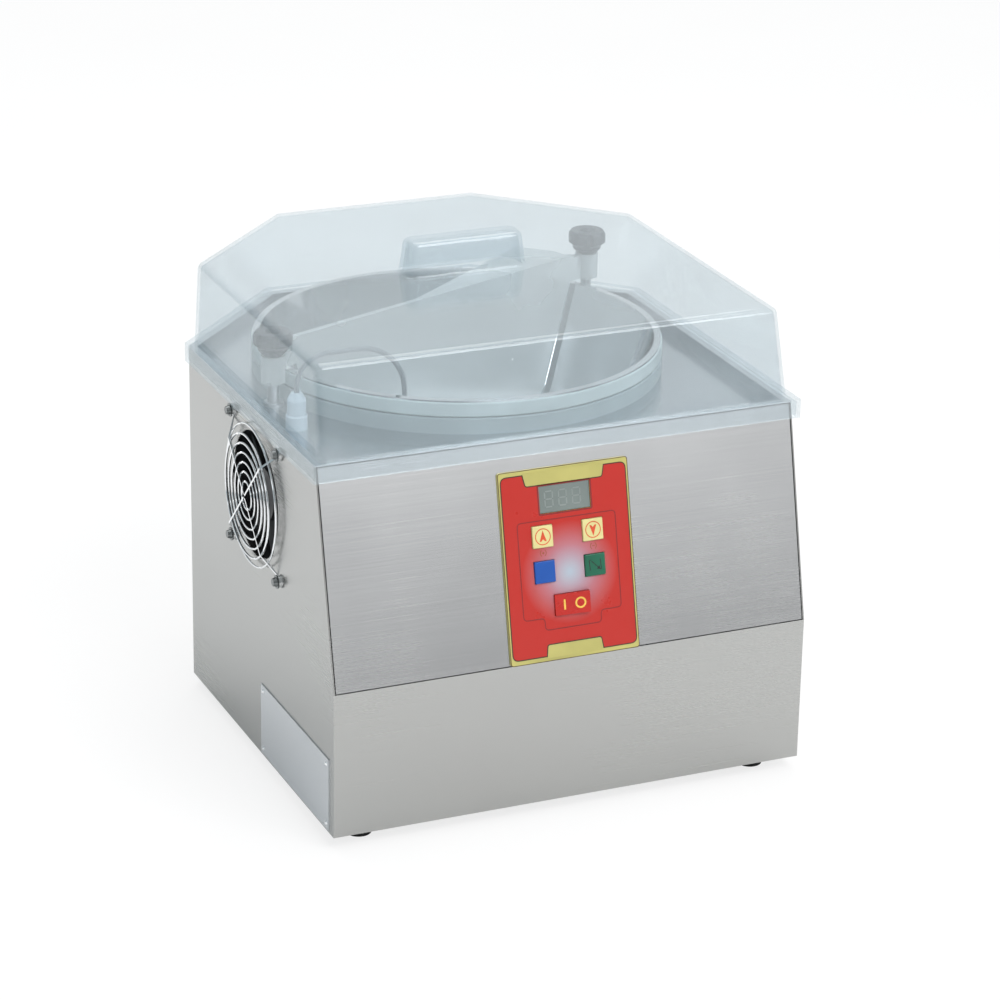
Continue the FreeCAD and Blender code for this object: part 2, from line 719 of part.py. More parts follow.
def make_side_label():
    """The bare plate low on the left side, and its rivets."""
    blank = slab([(-S.label_height / 2, -S.label_width / 2), (S.label_height / 2, -S.label_width / 2),
                  (S.label_height / 2, S.label_width / 2), (-S.label_height / 2, S.label_width / 2)],
                 S.label_thickness)
    keep("side_plate", on_left(blank, 0, S.label_y, S.label_z))
    inset = 5
    rivets = []
    for up in (-1, 1):
        for across in (-1, 1):
            rivet = cone(1.9, 1.1, 1.0)
            y = S.label_y + (S.label_width / 2 - inset) * across
            z = S.label_z + (S.label_height / 2 - inset) * up
            rivets.append(on_left(rivet, S.label_thickness, y, z))
    keep("side_plate_rivets", group(*rivets))


def make_rear_panel():
    """The service panel on the back, with louvre slots, the inlet's cut-out and screws."""
    half_width = S.rear_panel_width / 2
    half_height = S.rear_panel_height / 2
    body = new_body()
    sheet = sketch_on(body, "XY_Plane")
    add_rectangle(sheet, 0, 0, S.rear_panel_width, S.rear_panel_height)
    for x, z in rear_screw_spots():
        add_circle(sheet, x, z - S.rear_panel_z, S.fan_hole)
    add_rectangle(sheet, -S.inlet_x, S.inlet_z - S.rear_panel_z, S.inlet_width, S.inlet_height)
    pad(body, sheet, S.casing_sheet)
    slots = sketch_on(body, "XY_Plane", S.casing_sheet)
    add_rectangle(slots, 0, half_height - 30, half_width, 4)
    slot_cut = pocket(body, slots, S.casing_sheet)
    rows = body.newObject("PartDesign::LinearPattern", "Louvres")
    rows.Originals = [slot_cut]
    rows.Direction = (slots, ["V_Axis"])
    rows.Reversed = True
    rows.Length = 72
    rows.Occurrences = 7
    body.Tip = rows
    keep("rear_panel", on_back(body, 0, S.rear_panel_z))
    screws = []
    for x, z in rear_screw_spots():
        screw = fuse(cylinder(3.4, 2.0, z=S.casing_sheet), cylinder(S.fan_screw_radius, 9, z=S.casing_sheet - 9))
        screws.append(on_back(screw, x, z))
    keep("rear_panel_screws", group(*screws))


def make_inlet():
    """The mains inlet: a snap-in socket with its flange, cavity and three pins."""
    depth = 22
    flange = centred_box(S.inlet_width + 5, S.inlet_height + 5, 2.0)
    block = centred_box(S.inlet_width - 0.4, S.inlet_height - 0.4, depth, z=-depth)
    cavity = centred_box(S.inlet_width - 3, S.inlet_height - 4, depth - 3, z=3 - depth + 2)
    pins = [centred_box(4, 2, 14, x, y, 3 - depth) for x, y in ((-7, 2), (0, -2), (7, 2))]
    socket = fuse(cut(fuse(flange, block), cavity), *pins)
    keep("mains_inlet", on_back(socket, S.inlet_x, S.inlet_z, S.casing_sheet))


# ---- bowl and its drive ----

def make_rings():
    """The fixed ring on the deck, and the ring under the bowl's lip that turns with it."""
    inner = S.ring_radius - S.ring_wall
    chamfer = 1.0
    fixed = turned([(inner, 0), (S.ring_radius, 0), (S.ring_radius, S.ring_band - chamfer),
                    (S.ring_radius - chamfer, S.ring_band), (inner, S.ring_band)])
    keep("fixed_ring", place(fixed, 0, BOWL_Y, DECK_Z))
    bore = S.mouth_radius + S.bowl_sheet + S.seat_gap
    top = S.ring_band - S.bowl_sheet
    moving = turned([(bore, 0), (S.ring_radius - chamfer, 0), (S.ring_radius, chamfer),
                     (S.ring_radius, top - chamfer), (S.ring_radius - chamfer, top), (bore, top)])
    keep("bowl_ring", place(moving, 0, BOWL_Y, DECK_Z + S.ring_band + S.turning_gap))


def make_bowl():
    """The spun bowl: sloping wall, rounded floor and a flat lip."""
    wall = S.bowl_sheet
    lip = S.mouth_radius + S.lip_width
    outer = turned([(0, -wall), (S.bowl_floor_radius + wall, -wall), (S.mouth_radius + wall, S.bowl_depth - wall),
                    (lip, S.bowl_depth - wall), (lip, S.bowl_depth), (0, S.bowl_depth)])
    round_edges(outer, S.bowl_corner + wall, lambda edge: at_height(edge, -wall))
    inner = turned([(0, 0), (S.bowl_floor_radius, 0), (S.mouth_radius, S.bowl_depth), (0, S.bowl_depth)])
    round_edges(inner, S.bowl_corner, lambda edge: at_height(edge, 0))
    keep("bowl", place(cut(outer, inner), 0, BOWL_Y, BOWL_FLOOR_Z))


def at_height(edge, height):
    """True for a circle that lies at a height."""
    box_of = edge.BoundBox
    flat = box_of.ZLength < 1e-6 and abs(box_of.ZMin - number(height)) < 1e-6
    return flat and edge.Curve.TypeId == "Part::GeomCircle"


def make_bowl_drive():
    """The bowl's hub, the turntable with its drive pins, and the shaft."""
    hub_top = BOWL_FLOOR_Z - S.bowl_sheet
    pin_length = 7.0
    hub_height = pin_length + 2.0
    hub_z = hub_top - hub_height
    pins = []
    sockets = []
    for turn in range(3):
        angle = 120 * turn
        x = S.drive_pin_circle * cosine(angle)
        y = BOWL_Y + S.drive_pin_circle * sine(angle)
        pins.append(cylinder(S.drive_pin_radius, pin_length, x, y, hub_z))
        sockets.append(cylinder(S.drive_pin_radius + S.stud_fit, pin_length + 0.5, x, y, hub_z))
    hub = cut(cylinder(S.hub_radius, hub_height, 0, BOWL_Y, hub_z), *sockets)
    keep("bowl_hub", hub)
    table_z = hub_z - S.turntable_thickness
    boss_z = BRIDGE_TOP_Z + S.bearing_height + S.turning_gap
    disc = cylinder(S.turntable_radius, S.turntable_thickness, 0, BOWL_Y, table_z)
    boss = cylinder(S.shaft_radius * 2, table_z - boss_z, 0, BOWL_Y, boss_z)
    bore = cylinder(S.shaft_radius, hub_z - boss_z, 0, BOWL_Y, boss_z)
    keep("turntable", fuse(cut(fuse(disc, boss), bore), *pins))
    shaft_z = BRIDGE_TOP_Z - S.bridge_sheet - S.gearbox_height / 2
    keep("drive_shaft", cylinder(S.shaft_radius, hub_z - shaft_z, 0, BOWL_Y, shaft_z))


def make_bridge():
    """The hat-shaped sheet bridge that carries bearing, gearbox and heater."""
    half = S.bridge_width / 2
    foot = half + S.bridge_foot
    wall = S.bridge_sheet
    top = S.bridge_height
    body = new_body()
    hat = sketch_on(body, "XZ_Plane")
    right = [(half - wall, top - wall), (half - wall, 0), (foot, 0), (foot, wall), (half, wall), (half, top)]
    left = [(-x, z) for x, z in reversed(right)]
    add_loop(hat, right + left)
    pad(body, hat, S.bridge_depth, centred=True)
    hole = sketch_on(body, "XY_Plane", top)
    add_circle(hole, 0, 0, S.shaft_radius + 1)
    pocket(body, hole, wall)
    keep("motor_bridge", place(body, 0, BOWL_Y, PAN_TOP_Z))


def make_gearmotor():
    """Bearing housing above the bridge; gearbox and motor below it."""
    bore = S.shaft_radius + S.shaft_fit
    flange = S.shaft_radius * 4
    neck = S.shaft_radius * 2
    bearing = turned([(bore, 0), (flange, 0), (flange, 6), (neck, 6), (neck, S.bearing_height), (bore, S.bearing_height)])
    keep("bearing_housing", place(bearing, 0, BOWL_Y, BRIDGE_TOP_Z))
    gear_z = BRIDGE_TOP_Z - S.bridge_sheet - S.gearbox_height
    pocket_depth = S.gearbox_height / 2
    gears = turned([(0, 0), (S.gearbox_radius, 0), (S.gearbox_radius, S.gearbox_height), (bore, S.gearbox_height),
                    (bore, pocket_depth), (0, pocket_depth)])
    keep("gearbox", place(gears, 0, BOWL_Y, gear_z))
    low = 6.0
    can = turned([(0, 0), (low, 0), (low, low), (S.motor_radius - 3, low), (S.motor_radius, low + 3),
                  (S.motor_radius, S.motor_height), (0, S.motor_height)])
    keep("motor", place(can, 0, BOWL_Y, gear_z - S.motor_height))


def make_heater():
    """The round shroud on its spacers, the heating ring in it and the ring's clips."""
    floor_z = BRIDGE_TOP_Z + S.shroud_lift
    wall = S.casing_sheet
    inner = S.shaft_radius * 2 + 4
    edge = S.shroud_wall_height
    tray = turned([(inner, 0), (S.shroud_radius, 0), (S.shroud_radius, edge), (S.shroud_radius - wall, edge),
                   (S.shroud_radius - wall, wall), (inner, wall)])
    keep("heater_shroud", place(tray, 0, BOWL_Y, floor_z))
    spacers = []
    reach = S.bridge_depth / 2 - 9
    for turn in range(4):
        x = reach * math.cos(math.radians(90 * turn))
        y = BOWL_Y + reach * math.sin(math.radians(90 * turn))
        spacers.append(cylinder(5, S.shroud_lift, x, y, BRIDGE_TOP_Z))
    keep("shroud_spacers", group(*spacers))
    ring_z = floor_z + S.heater_lift
    ring = doc.addObject("Part::Torus", "Ring")
    bind(ring, "Radius1", S.heater_radius)
    bind(ring, "Radius2", S.heater_tube)
    keep("heating_ring", place(ring, 0, BOWL_Y, ring_z))
    clips = []
    for turn in range(3):
        angle = 60 + 120 * turn
        x = S.heater_radius * cosine(angle)
        y = BOWL_Y + S.heater_radius * sine(angle)
        clips.append(cylinder(3.5, S.heater_lift - wall - S.heater_tube, x, y, floor_z + wall))
    keep("heater_clips", group(*clips))


# ---- divider, posts, knobs and probe ----

def chord_half(radius, offset):
    """Half the chord of a circle at an offset from its centre."""
    return root(radius * radius - offset * offset)


POST_HALF = chord_half(S.post_circle, S.divider_offset)


def over_bowl(thing, x=0, y=0, z=0):
    """Put a thing in the divider's frame: x along the divider, y behind the bowl axis."""
    spot_x = x * cosine(S.divider_angle) - y * sine(S.divider_angle)
    spot_y = BOWL_Y + x * sine(S.divider_angle) + y * cosine(S.divider_angle)
    return place(thing, spot_x, spot_y, z, Z_AXIS, S.divider_angle)


def post_spots():
    """Where the two posts stand."""
    spots = []
    for x in (-POST_HALF, POST_HALF):
        across = x * cosine(S.divider_angle) - S.divider_offset * sine(S.divider_angle)
        along = BOWL_Y + x * sine(S.divider_angle) + S.divider_offset * cosine(S.divider_angle)
        spots.append((across, along))
    return spots


def make_divider():
    """The upright divider: a blade that follows the bowl, two end bosses and a rear shelf."""
    back = S.divider_offset + S.divider_sheet / 2
    lip = LIP_Z - DECK_Z
    ear_z = lip + S.divider_clearance
    top = lip + S.divider_rise
    floor_z = lip - S.bowl_depth + S.divider_clearance
    mouth = chord_half(S.mouth_radius, back) - S.divider_clearance * 1.5
    floor = chord_half(S.bowl_floor_radius, back) - S.divider_clearance * 1.5
    ear_start = POST_HALF - S.knob_radius - S.divider_clearance
    ear = S.left_boss_top
    blade = new_body()
    outline = sketch_on(blade, "XZ_Plane")
    add_loop(outline, [(-POST_HALF, ear_z), (-mouth, ear_z), (-floor, floor_z), (floor, floor_z),
                       (mouth, ear_z), (POST_HALF, ear_z), (POST_HALF, S.right_boss_top),
                       (ear_start, S.right_boss_top), (ear_start, top), (-ear_start, top), (-ear_start, ear), (-POST_HALF, ear)])
    pad(blade, outline, S.divider_sheet, centred=True)
    round_edges(blade, S.bowl_corner + 1, lambda edge: across_blade(edge, floor_z))
    left = cylinder(S.boss_radius, S.left_boss_length, -POST_HALF, 0, S.left_boss_top - S.left_boss_length)
    right = cylinder(S.boss_radius, S.right_boss_top - ear_z, POST_HALF, 0, ear_z)
    bores = [cylinder(S.stud_radius + S.stud_fit, top * 2, x, 0, 0) for x in (-POST_HALF, POST_HALF)]
    reach = S.mouth_radius * 0.29
    shelf = slab([(-S.mouth_radius * 0.18, 0), (mouth, 0), (mouth, reach * 0.35), (mouth * 0.9, reach)], S.shelf_sheet)
    place(shelf, 0, 0, top - S.shelf_sheet)
    whole = cut(fuse(blade, left, right, shelf), *bores)
    keep("divider", over_bowl(whole, 0, S.divider_offset, DECK_Z))


def across_blade(edge, height):
    """True for an edge through the blade's thickness at a height."""
    spans = edge.BoundBox
    return spans.YLength > 1 and spans.XLength < 1e-6 and abs(spans.ZMin - number(height)) < 1e-6


def make_posts():
    """The two threaded posts on the deck."""
    shoulders = {"left_post": S.left_boss_top - S.left_boss_length,
                 "right_post": LIP_Z - DECK_Z + S.divider_clearance}
    tops = {"left_post": S.left_boss_top, "right_post": S.right_boss_top}
    for (name, shoulder), (x, y) in zip(shoulders.items(), post_spots()):
        stud_top = tops[name] + S.knob_height * 0.7
        post = turned([(0, -S.stud_tail), (S.stud_radius, -S.stud_tail), (S.stud_radius, 0), (S.post_foot_radius, 0),
                       (S.post_foot_radius, 2.5), (S.post_radius, 2.5), (S.post_radius, shoulder),
                       (S.stud_radius, shoulder), (S.stud_radius, stud_top), (0, stud_top)])
        keep(name, place(post, x, y, DECK_Z))
    nuts = []
    for x, y in post_spots():
        ring = cut(hexagon(5.5, 5), cylinder(S.stud_radius + S.shaft_fit, 5))
        nuts.append(place(ring, x, y, DECK_Z - S.deck_sheet - 5))
    keep("post_nuts", group(*nuts))


def hexagon(apothem, height):
    """A six-sided prism."""
    nut = doc.addObject("Part::Prism", "Prism")
    nut.Polygon = 6
    bind(nut, "Circumradius", apothem / math.cos(math.radians(30)))
    bind(nut, "Height", height)
    return nut


def make_knobs():
    """Two lobed clamp knobs with a hub below and a domed cap."""
    for name, height, (x, y) in zip(("left_knob", "right_knob"), (S.left_boss_top, S.right_boss_top), post_spots()):
        keep(name, place(knob_body(), x, y, DECK_Z + height))


def knob_body():
    """One clamp knob, standing on its hub."""
    bore = S.stud_radius + S.shaft_fit
    depth = S.knob_height * 0.75
    edge = 2.0
    head = S.knob_radius
    cap = S.knob_cap_radius
    top = S.knob_height
    body = turned([(bore, 0), (S.knob_hub_foot, 0), (S.knob_hub_radius, S.knob_hub_height / 2),
                   (S.knob_hub_radius, S.knob_hub_height - edge),
                   (head, S.knob_hub_height + edge / 2), (head, top - edge * 1.5), (head - edge, top),
                   (cap, top), (cap * 0.7, top + S.knob_cap_height), (0, top + S.knob_cap_height),
                   (0, depth), (bore, depth)])
    flutes = sketch_on(body, "XY_Plane", S.knob_hub_height - edge)
    add_circle(flutes, head + S.knob_flute_radius * 0.4, 0, S.knob_flute_radius)
    flute = pocket(body, flutes, top, back=True)
    lobes = body.newObject("PartDesign::PolarPattern", "Lobes")
    lobes.Originals = [flute]
    lobes.Axis = (flutes, ["N_Axis"])
    lobes.Angle = 360
    lobes.Occurrences = round(number(S.knob_lobes))
    body.Tip = lobes
    return body


def make_probe():
    """The gland on the deck, the bent arm that it holds and the sensing tip in the bowl."""
    bore = S.probe_radius + S.shaft_fit
    wide = S.gland_radius
    neck = wide * 0.86
    height = S.gland_height
    gland = turned([(bore, 0), (wide, 0), (wide, height * 0.36), (neck, height * 0.4),
                    (neck, height * 0.8), (wide * 0.5, height), (bore, height)])
    keep("probe_gland", place(gland, S.gland_x, S.gland_y, DECK_Z))
    path, end = probe_path()
    start = path.Vertexes[0].Point
    ring = Part.Wire(Part.makeCircle(number(S.probe_radius), start, Z_AXIS))
    arm = doc.addObject("Part::Feature", "Arm")
    arm.Shape = path.makePipeShell([ring], True, True)
    keep("probe_arm", arm)
    round_end = S.probe_tip_radius
    tip = turned([(0, 0), (round_end * 0.6, 0), (round_end, round_end), (round_end, S.probe_tip_length),
                  (0, S.probe_tip_length)])
    keep("probe_tip", place(tip, end.x, end.y, end.z - number(S.probe_tip_length)))


def probe_path():
    """The arm's centre line: up out of the gland, across, and down into the bowl."""
    x = number(S.gland_x)
    y = number(S.gland_y)
    low = number(DECK_Z) - 5.5
    peak = number(S.probe_peak)
    far = x + number(S.probe_reach)
    end = Vector(far, y, number(LIP_Z - S.probe_drop))
    first = number(S.probe_gland_bend)
    second = number(S.probe_bowl_bend)
    slant = math.sqrt(0.5)
    rise = Part.LineSegment(Vector(x, y, low), Vector(x, y, peak - first))
    over = Part.Arc(Vector(x, y, peak - first),
                    Vector(x + first * (1 - slant), y, peak - first * (1 - slant)),
                    Vector(x + first, y, peak))
    level = Part.LineSegment(Vector(x + first, y, peak), Vector(far - second, y, peak))
    down = Part.Arc(Vector(far - second, y, peak),
                    Vector(far - second * (1 - slant), y, peak - second * (1 - slant)),
                    Vector(far, y, peak - second))
    drop = Part.LineSegment(Vector(far, y, peak - second), end)
    return Part.Wire([run.toShape() for run in (rise, over, level, down, drop)]), end


# ---- hood ----

def tapered_pad(body, sketch, length, lean):
    """Material added along the sketch's normal, its sides leaning in by an angle."""
    feature = pad(body, sketch, length)
    bind(feature, "TaperAngle", -lean)
    return feature


def hood_form(inset):
    """The hood's walls, top and hollow grip as one block, moved in by inset."""
    front = TOP_FRONT_Y + S.hood_front_inset + inset
    body = new_body()
    foot = sketch_on(body, "XY_Plane", TOP_Z)
    add_loop(foot, plan(S.hood_foot_inset + inset, front))
    rise = S.hood_rise - inset
    tapered_pad(body, foot, rise, S.hood_lean)
    slope = sketch_on(body, "YZ_Plane")
    lean = rise * sine(S.hood_front_lean) / cosine(S.hood_front_lean)
    ahead = front - 20
    add_loop(slope, [(front, TOP_Z), (front + lean, TOP_Z + rise), (ahead, TOP_Z + rise), (ahead, TOP_Z)])
    pocket(body, slope, S.casing_width, centred=True)
    low = number(TOP_Z)
    round_edges(body, S.hood_corner - inset, lambda edge: edge.BoundBox.ZMax > low + 1)
    grip_foot = sketch_on(body, "XY_Plane", TOP_Z + rise - S.hood_corner)
    grip_rise = S.grip_height + S.hood_corner
    add_rectangle(grip_foot, 0, S.grip_y, S.grip_length - inset * 2, S.grip_width - inset * 2)
    tapered_pad(body, grip_foot, grip_rise, S.grip_lean)
    roof = number(TOP_Z + rise)
    corner = S.grip_corner - inset
    round_edges(body, corner, lambda edge: steep_above(edge, roof))
    round_edges(body, corner * 0.6, lambda edge: edge.BoundBox.ZMin > roof + 5)
    round_edges(body, S.grip_flare + inset, lambda edge: round_grip_foot(edge, roof))
    return body


def round_grip_foot(edge, roof):
    """True for the edges where the grip stands on the hood's roof."""
    spans = edge.BoundBox
    level = abs(spans.ZMin - roof) < 1e-4 and abs(spans.ZMax - roof) < 1e-4
    return level and abs(spans.XMin) < number(S.grip_length) / 2 + 1 and abs(spans.XMax) < number(S.grip_length) / 2 + 1


def steep_above(edge, height):
    """True for a rising straight edge whose upper end is well above a height."""
    spans = edge.BoundBox
    return spans.ZMax > height + 5 and spans.ZLength > 5


def make_hood():
    """The clear hood: drafted walls, flat top, hollow grip, flange and skirt."""
    shell = cut(hood_form(0), hood_form(S.hood_sheet))
    wall = S.hood_sheet
    drop = S.hood_skirt
    low_z = TOP_Z - drop
    skirt_front = TOP_FRONT_Y - drop * LEAN_TAN - S.seat_gap
    body = new_body()
    rim = sketch_on(body, "XY_Plane", low_z)
    add_loop(rim, plan(-S.hood_play - wall, skirt_front - wall))
    pad(body, rim, drop + S.seat_gap + wall)
    skirt = sketch_on(body, "XY_Plane", low_z)
    add_loop(skirt, plan(-S.hood_play, skirt_front))
    pocket(body, skirt, drop + S.seat_gap, back=True)
    way = sketch_on(body, "XY_Plane", TOP_Z + S.seat_gap + wall)
    add_loop(way, plan(S.hood_foot_inset + wall, TOP_FRONT_Y + S.hood_front_inset + wall))
    pocket(body, way, wall * 2)
    trim = centred_box(S.casing_width * 2, S.casing_depth * 2, S.seat_gap + wall, 0, 0, TOP_Z - wall)
    keep("hood", place(fuse(cut(shell, trim), body), S.hood_shift))


# ---- fan ----

def fan_corners():
    """The fan's four screw places, from its axis."""
    half = S.fan_pitch / 2
    return [(half * up, half * across) for up in (-1, 1) for across in (-1, 1)]


def make_fan_frame():
    """The fan's frame: two square flanges on a round duct, with the motor's cup on four struts."""
    depth = S.fan_depth
    low = centred_box(S.fan_size, S.fan_size, S.fan_flange)
    high = centred_box(S.fan_size, S.fan_size, S.fan_flange, z=depth - S.fan_flange)
    duct = cylinder(S.fan_bore + S.fan_wall, depth)
    holes = [cylinder(S.fan_hole, depth, x, y) for x, y in fan_corners()]
    airway = cylinder(S.fan_bore, depth)
    struts = []
    for turn in range(4):
        strut = box(S.fan_bore + 1, S.fan_strut, S.cup_floor, 0, -S.fan_strut / 2, 0)
        struts.append(place(group(strut), 0, 0, 0, Z_AXIS, 45 + 90 * turn))
    cup = cylinder(S.fan_hub, S.cup_floor)
    axle = cylinder(S.fan_axle, S.cup_floor + S.fan_rotor_height - S.fan_hub_top * 2)
    frame = fuse(cut(fuse(low, high, duct), airway, *holes), cup, axle, *struts)
    keep("fan_frame", on_left(frame, -S.casing_sheet - depth, S.fan_y, S.fan_z))


def make_fan_rotor():
    """The fan's hub with its seven leaning blades."""
    base = S.cup_floor + S.turning_gap
    height = S.fan_rotor_height
    bore = cylinder(S.fan_axle + S.shaft_fit, height - S.fan_hub_top, z=base)
    hub = cut(cylinder(S.fan_hub, height, z=base), bore)
    tip = S.fan_bore - S.fan_tip_gap
    sheet = S.fan_blade
    blades = []
    for turn in range(7):
        blade = box(tip + 1, sheet, height * 1.15, 0, -sheet / 2, height * -0.575)
        lean = place(group(blade), 0, 0, base + height / 2, X_AXIS, S.fan_blade_lean)
        blades.append(place(group(lean), 0, 0, 0, Z_AXIS, 360 / 7 * turn))
    band = cut(cylinder(tip, height - 2, z=base + 1), cylinder(S.fan_hub - 1, height, z=base))
    rotor = fuse(hub, common(fuse(*blades), band))
    keep("fan_rotor", on_left(rotor, -S.casing_sheet - S.fan_depth, S.fan_y, S.fan_z))


def make_fan_screws():
    """Four screws with washers through the guard's loops into the fan's flange."""
    screws = []
    seat = S.guard_wire * 2
    washer = 1.0
    head = S.screw_head * 0.7
    for x, y in fan_corners():
        shank = cylinder(S.fan_screw_radius, seat + S.fan_screw_grip, x, y, -S.fan_screw_grip)
        dome = cone(head, head * 0.8, head * 0.8, x, y, seat + washer)
        screws.append(fuse(cylinder(S.screw_head, washer, x, y, seat), dome, shank))
    keep("fan_screws", on_left(group(*screws), 0, S.fan_y, S.fan_z))


def wire_ring(radius, z):
    """A round hoop of guard wire, of eight-sided section."""
    wire = S.guard_wire
    flat = math.tan(math.radians(22.5))
    side = [(wire, wire * flat), (wire * flat, wire), (-wire * flat, wire), (-wire, wire * flat)]
    section = side + [(-x, -y) for x, y in side]
    return place(turned([(radius + x, y) for x, y in section]), 0, 0, z)


def guard_spoke(angle):
    """One bent spoke: level over the rings, then down to its loop on the casing."""
    wire = S.guard_wire
    level = S.guard_rise + wire * 2
    knee = S.guard_knee
    foot = S.fan_pitch / 2 * math.sqrt(2) - S.guard_loop - wire
    spoke = new_body()
    side = sketch_on(spoke, "XZ_Plane")
    add_loop(side, [(wire * 2, level - wire), (knee - wire / 2, level - wire), (foot - wire * 1.5, 0),
                    (foot + wire, 0), (knee + wire / 2, level + wire), (wire * 2, level + wire)])
    pad(spoke, side, wire * 2, centred=True)
    return place(spoke, 0, 0, 0, Z_AXIS, angle)


def make_fan_guard():
    """The wire guard: proud rings and one low outer ring, under spokes with loops for the screws."""
    wire = S.guard_wire
    last = round(number(S.guard_rings)) - 1
    rings = [wire_ring(S.guard_inner + S.guard_step * turn, S.guard_rise) for turn in range(last)]
    rings.append(wire_ring(S.guard_inner + S.guard_step * last, S.guard_outer_rise))
    keep("fan_guard_rings", on_left(group(*rings), 0, S.fan_y, S.fan_z))
    spokes = []
    for (x, y), angle in zip(fan_corners(), (225, 135, 315, 45)):
        hole = cylinder(S.guard_loop - wire, wire * 2, x, y)
        loop = cylinder(S.guard_loop + wire, wire * 2, x, y)
        spokes.append(cut(fuse(loop, guard_spoke(angle)), hole))
    keep("fan_guard_spokes", on_left(group(*spokes), 0, S.fan_y, S.fan_z))


# ---- controls on the leaning front ----

def key_spots():
    """Name, across and up the slope, for the four keys."""
    column = S.key_column
    return [("up_key", -column, S.upper_key_row), ("down_key", column, S.upper_key_row),
            ("program_key", -column, S.lower_key_row), ("start_key", column, S.lower_key_row)]


def make_control_plate():
    """The plate with openings for the display, the keys and the rocker."""
    body = new_body()
    sheet = sketch_on(body, "XY_Plane")
    add_rectangle(sheet, 0, S.plate_length / 2, S.plate_width, S.plate_length)
    for _, x, row in key_spots():
        opening = S.key_size + S.key_clearance * 2
        add_rectangle(sheet, x, row, opening, opening)
    gap = S.key_clearance * 2
    add_rectangle(sheet, 0, S.display_row, S.display_width + gap, S.display_height + gap)
    add_rectangle(sheet, 0, S.rocker_row, S.rocker_width + S.rocker_clearance * 2, S.rocker_length + gap)
    pad(body, sheet, S.plate_thickness)
    side = number(S.plate_width) / 2
    round_edges(body, S.plate_corner, lambda edge: upright(edge) and on_corner(edge, side))
    keep("control_plate", on_front(body))


def on_corner(edge, side):
    """True for an upright edge at the outer corners of a plate that is 2 * side wide."""
    return abs(abs(edge.Vertexes[0].X) - side) < 1e-6


def make_keys():
    """Four push keys: cap, flange behind the plate and plunger."""
    flange = 1.2
    for name, x, row in key_spots():
        top = S.plate_thickness + S.key_proud
        low = -S.key_travel
        cap = new_body()
        face = sketch_on(cap, "XY_Plane", low)
        add_rectangle(face, 0, 0, S.key_size, S.key_size)
        pad(cap, face, top - low)
        high = number(top)
        round_edges(cap, 0.8, lambda edge: upright(edge) or edge.BoundBox.ZMin > high - 1e-6)
        rear = centred_box(S.key_size + 1.6, S.key_size + 1.6, flange, 0, 0, low - flange)
        stem = cylinder(2.5, key_stem(), 0, 0, low - flange - key_stem())
        keep(name, on_front(fuse(cap, rear, stem), x, row))


def key_stem():
    """Length of a key's plunger, which ends just above its switch at rest."""
    switch_height = 3.6
    return S.board_depth - switch_height - S.key_travel * 2 - 1.2 - S.seat_gap


def make_display():
    """The display's window and the module behind it."""
    depth = 2.0
    back = S.plate_thickness - S.display_recess - depth
    pane = centred_box(S.display_width, S.display_height, depth)
    keep("display_window", on_front(group(pane), 0, S.display_row, back))
    module = centred_box(S.display_width - 1, S.display_height - 1, S.board_depth + back)
    keep("display_module", on_front(group(module), 0, S.display_row, -S.board_depth))


def make_board():
    """The control board with its switches, on four standoffs behind the control plate."""
    low = S.lower_key_row - S.key_size / 2 - 5
    high = S.display_row + S.display_height / 2 + 3
    length = high - low
    middle = low + length / 2
    half = S.plate_width / 2 - 9
    sheet = centred_box(half * 2 + 4, length, S.board_thickness, 0, middle, -S.board_depth - S.board_thickness)
    switches = [centred_box(6, 6, 3.6, x, row, -S.board_depth) for _, x, row in key_spots()]
    keep("control_board", on_front(fuse(sheet, *switches)))
    standoffs = []
    for x in (-half, half):
        for row in (low + 4, high - 4):
            standoffs.append(cylinder(2.5, S.board_depth, x, row, -S.board_depth))
    keep("board_standoffs", on_front(group(*standoffs)))


def make_rocker():
    """The mains rocker in its housing; it rocks about an axis up the slope."""
    pivot = S.plate_thickness - 3.5
    pin = 1.4
    half = S.rocker_width / 2
    cap = new_body()
    side = sketch_on(cap, "XZ_Plane")
    rise = S.plate_thickness + 2.6 - pivot
    add_loop(side, [(-half, 1.5), (-3, -3), (3, -3), (half, 1.5), (half, rise + 0.6), (0, rise), (-half, rise + 0.6)])
    pad(cap, side, S.rocker_length, centred=True)
    axle_length = S.rocker_length + 4
    axle = cylinder(pin, axle_length, 0, axle_length / 2, 0, X_AXIS, 90)
    rocker = fuse(cap, axle)
    on_front(rocker, 0, S.rocker_row, pivot)
    rocker.Placement = rocker.Placement * Placement(Vector(), Rotation(Y_AXIS, -number(S.rocker_tilt)))
    keep("mains_rocker", rocker)
    depth = 20
    wall = 2.2
    outer_x = S.rocker_width + (S.rocker_clearance + wall) * 2
    outer_y = S.rocker_length + (S.key_clearance + wall) * 2
    block = centred_box(outer_x, outer_y, depth, 0, 0, -depth)
    well = centred_box(S.rocker_width + S.rocker_clearance * 2, S.rocker_length + S.key_clearance * 2, 9, 0, 0, -9)
    bearing = cylinder(pin + S.shaft_fit, axle_length + 1, 0, axle_length / 2 + 0.5, pivot, X_AXIS, 90)
    keep("rocker_housing", on_front(cut(block, well, bearing), 0, S.rocker_row))


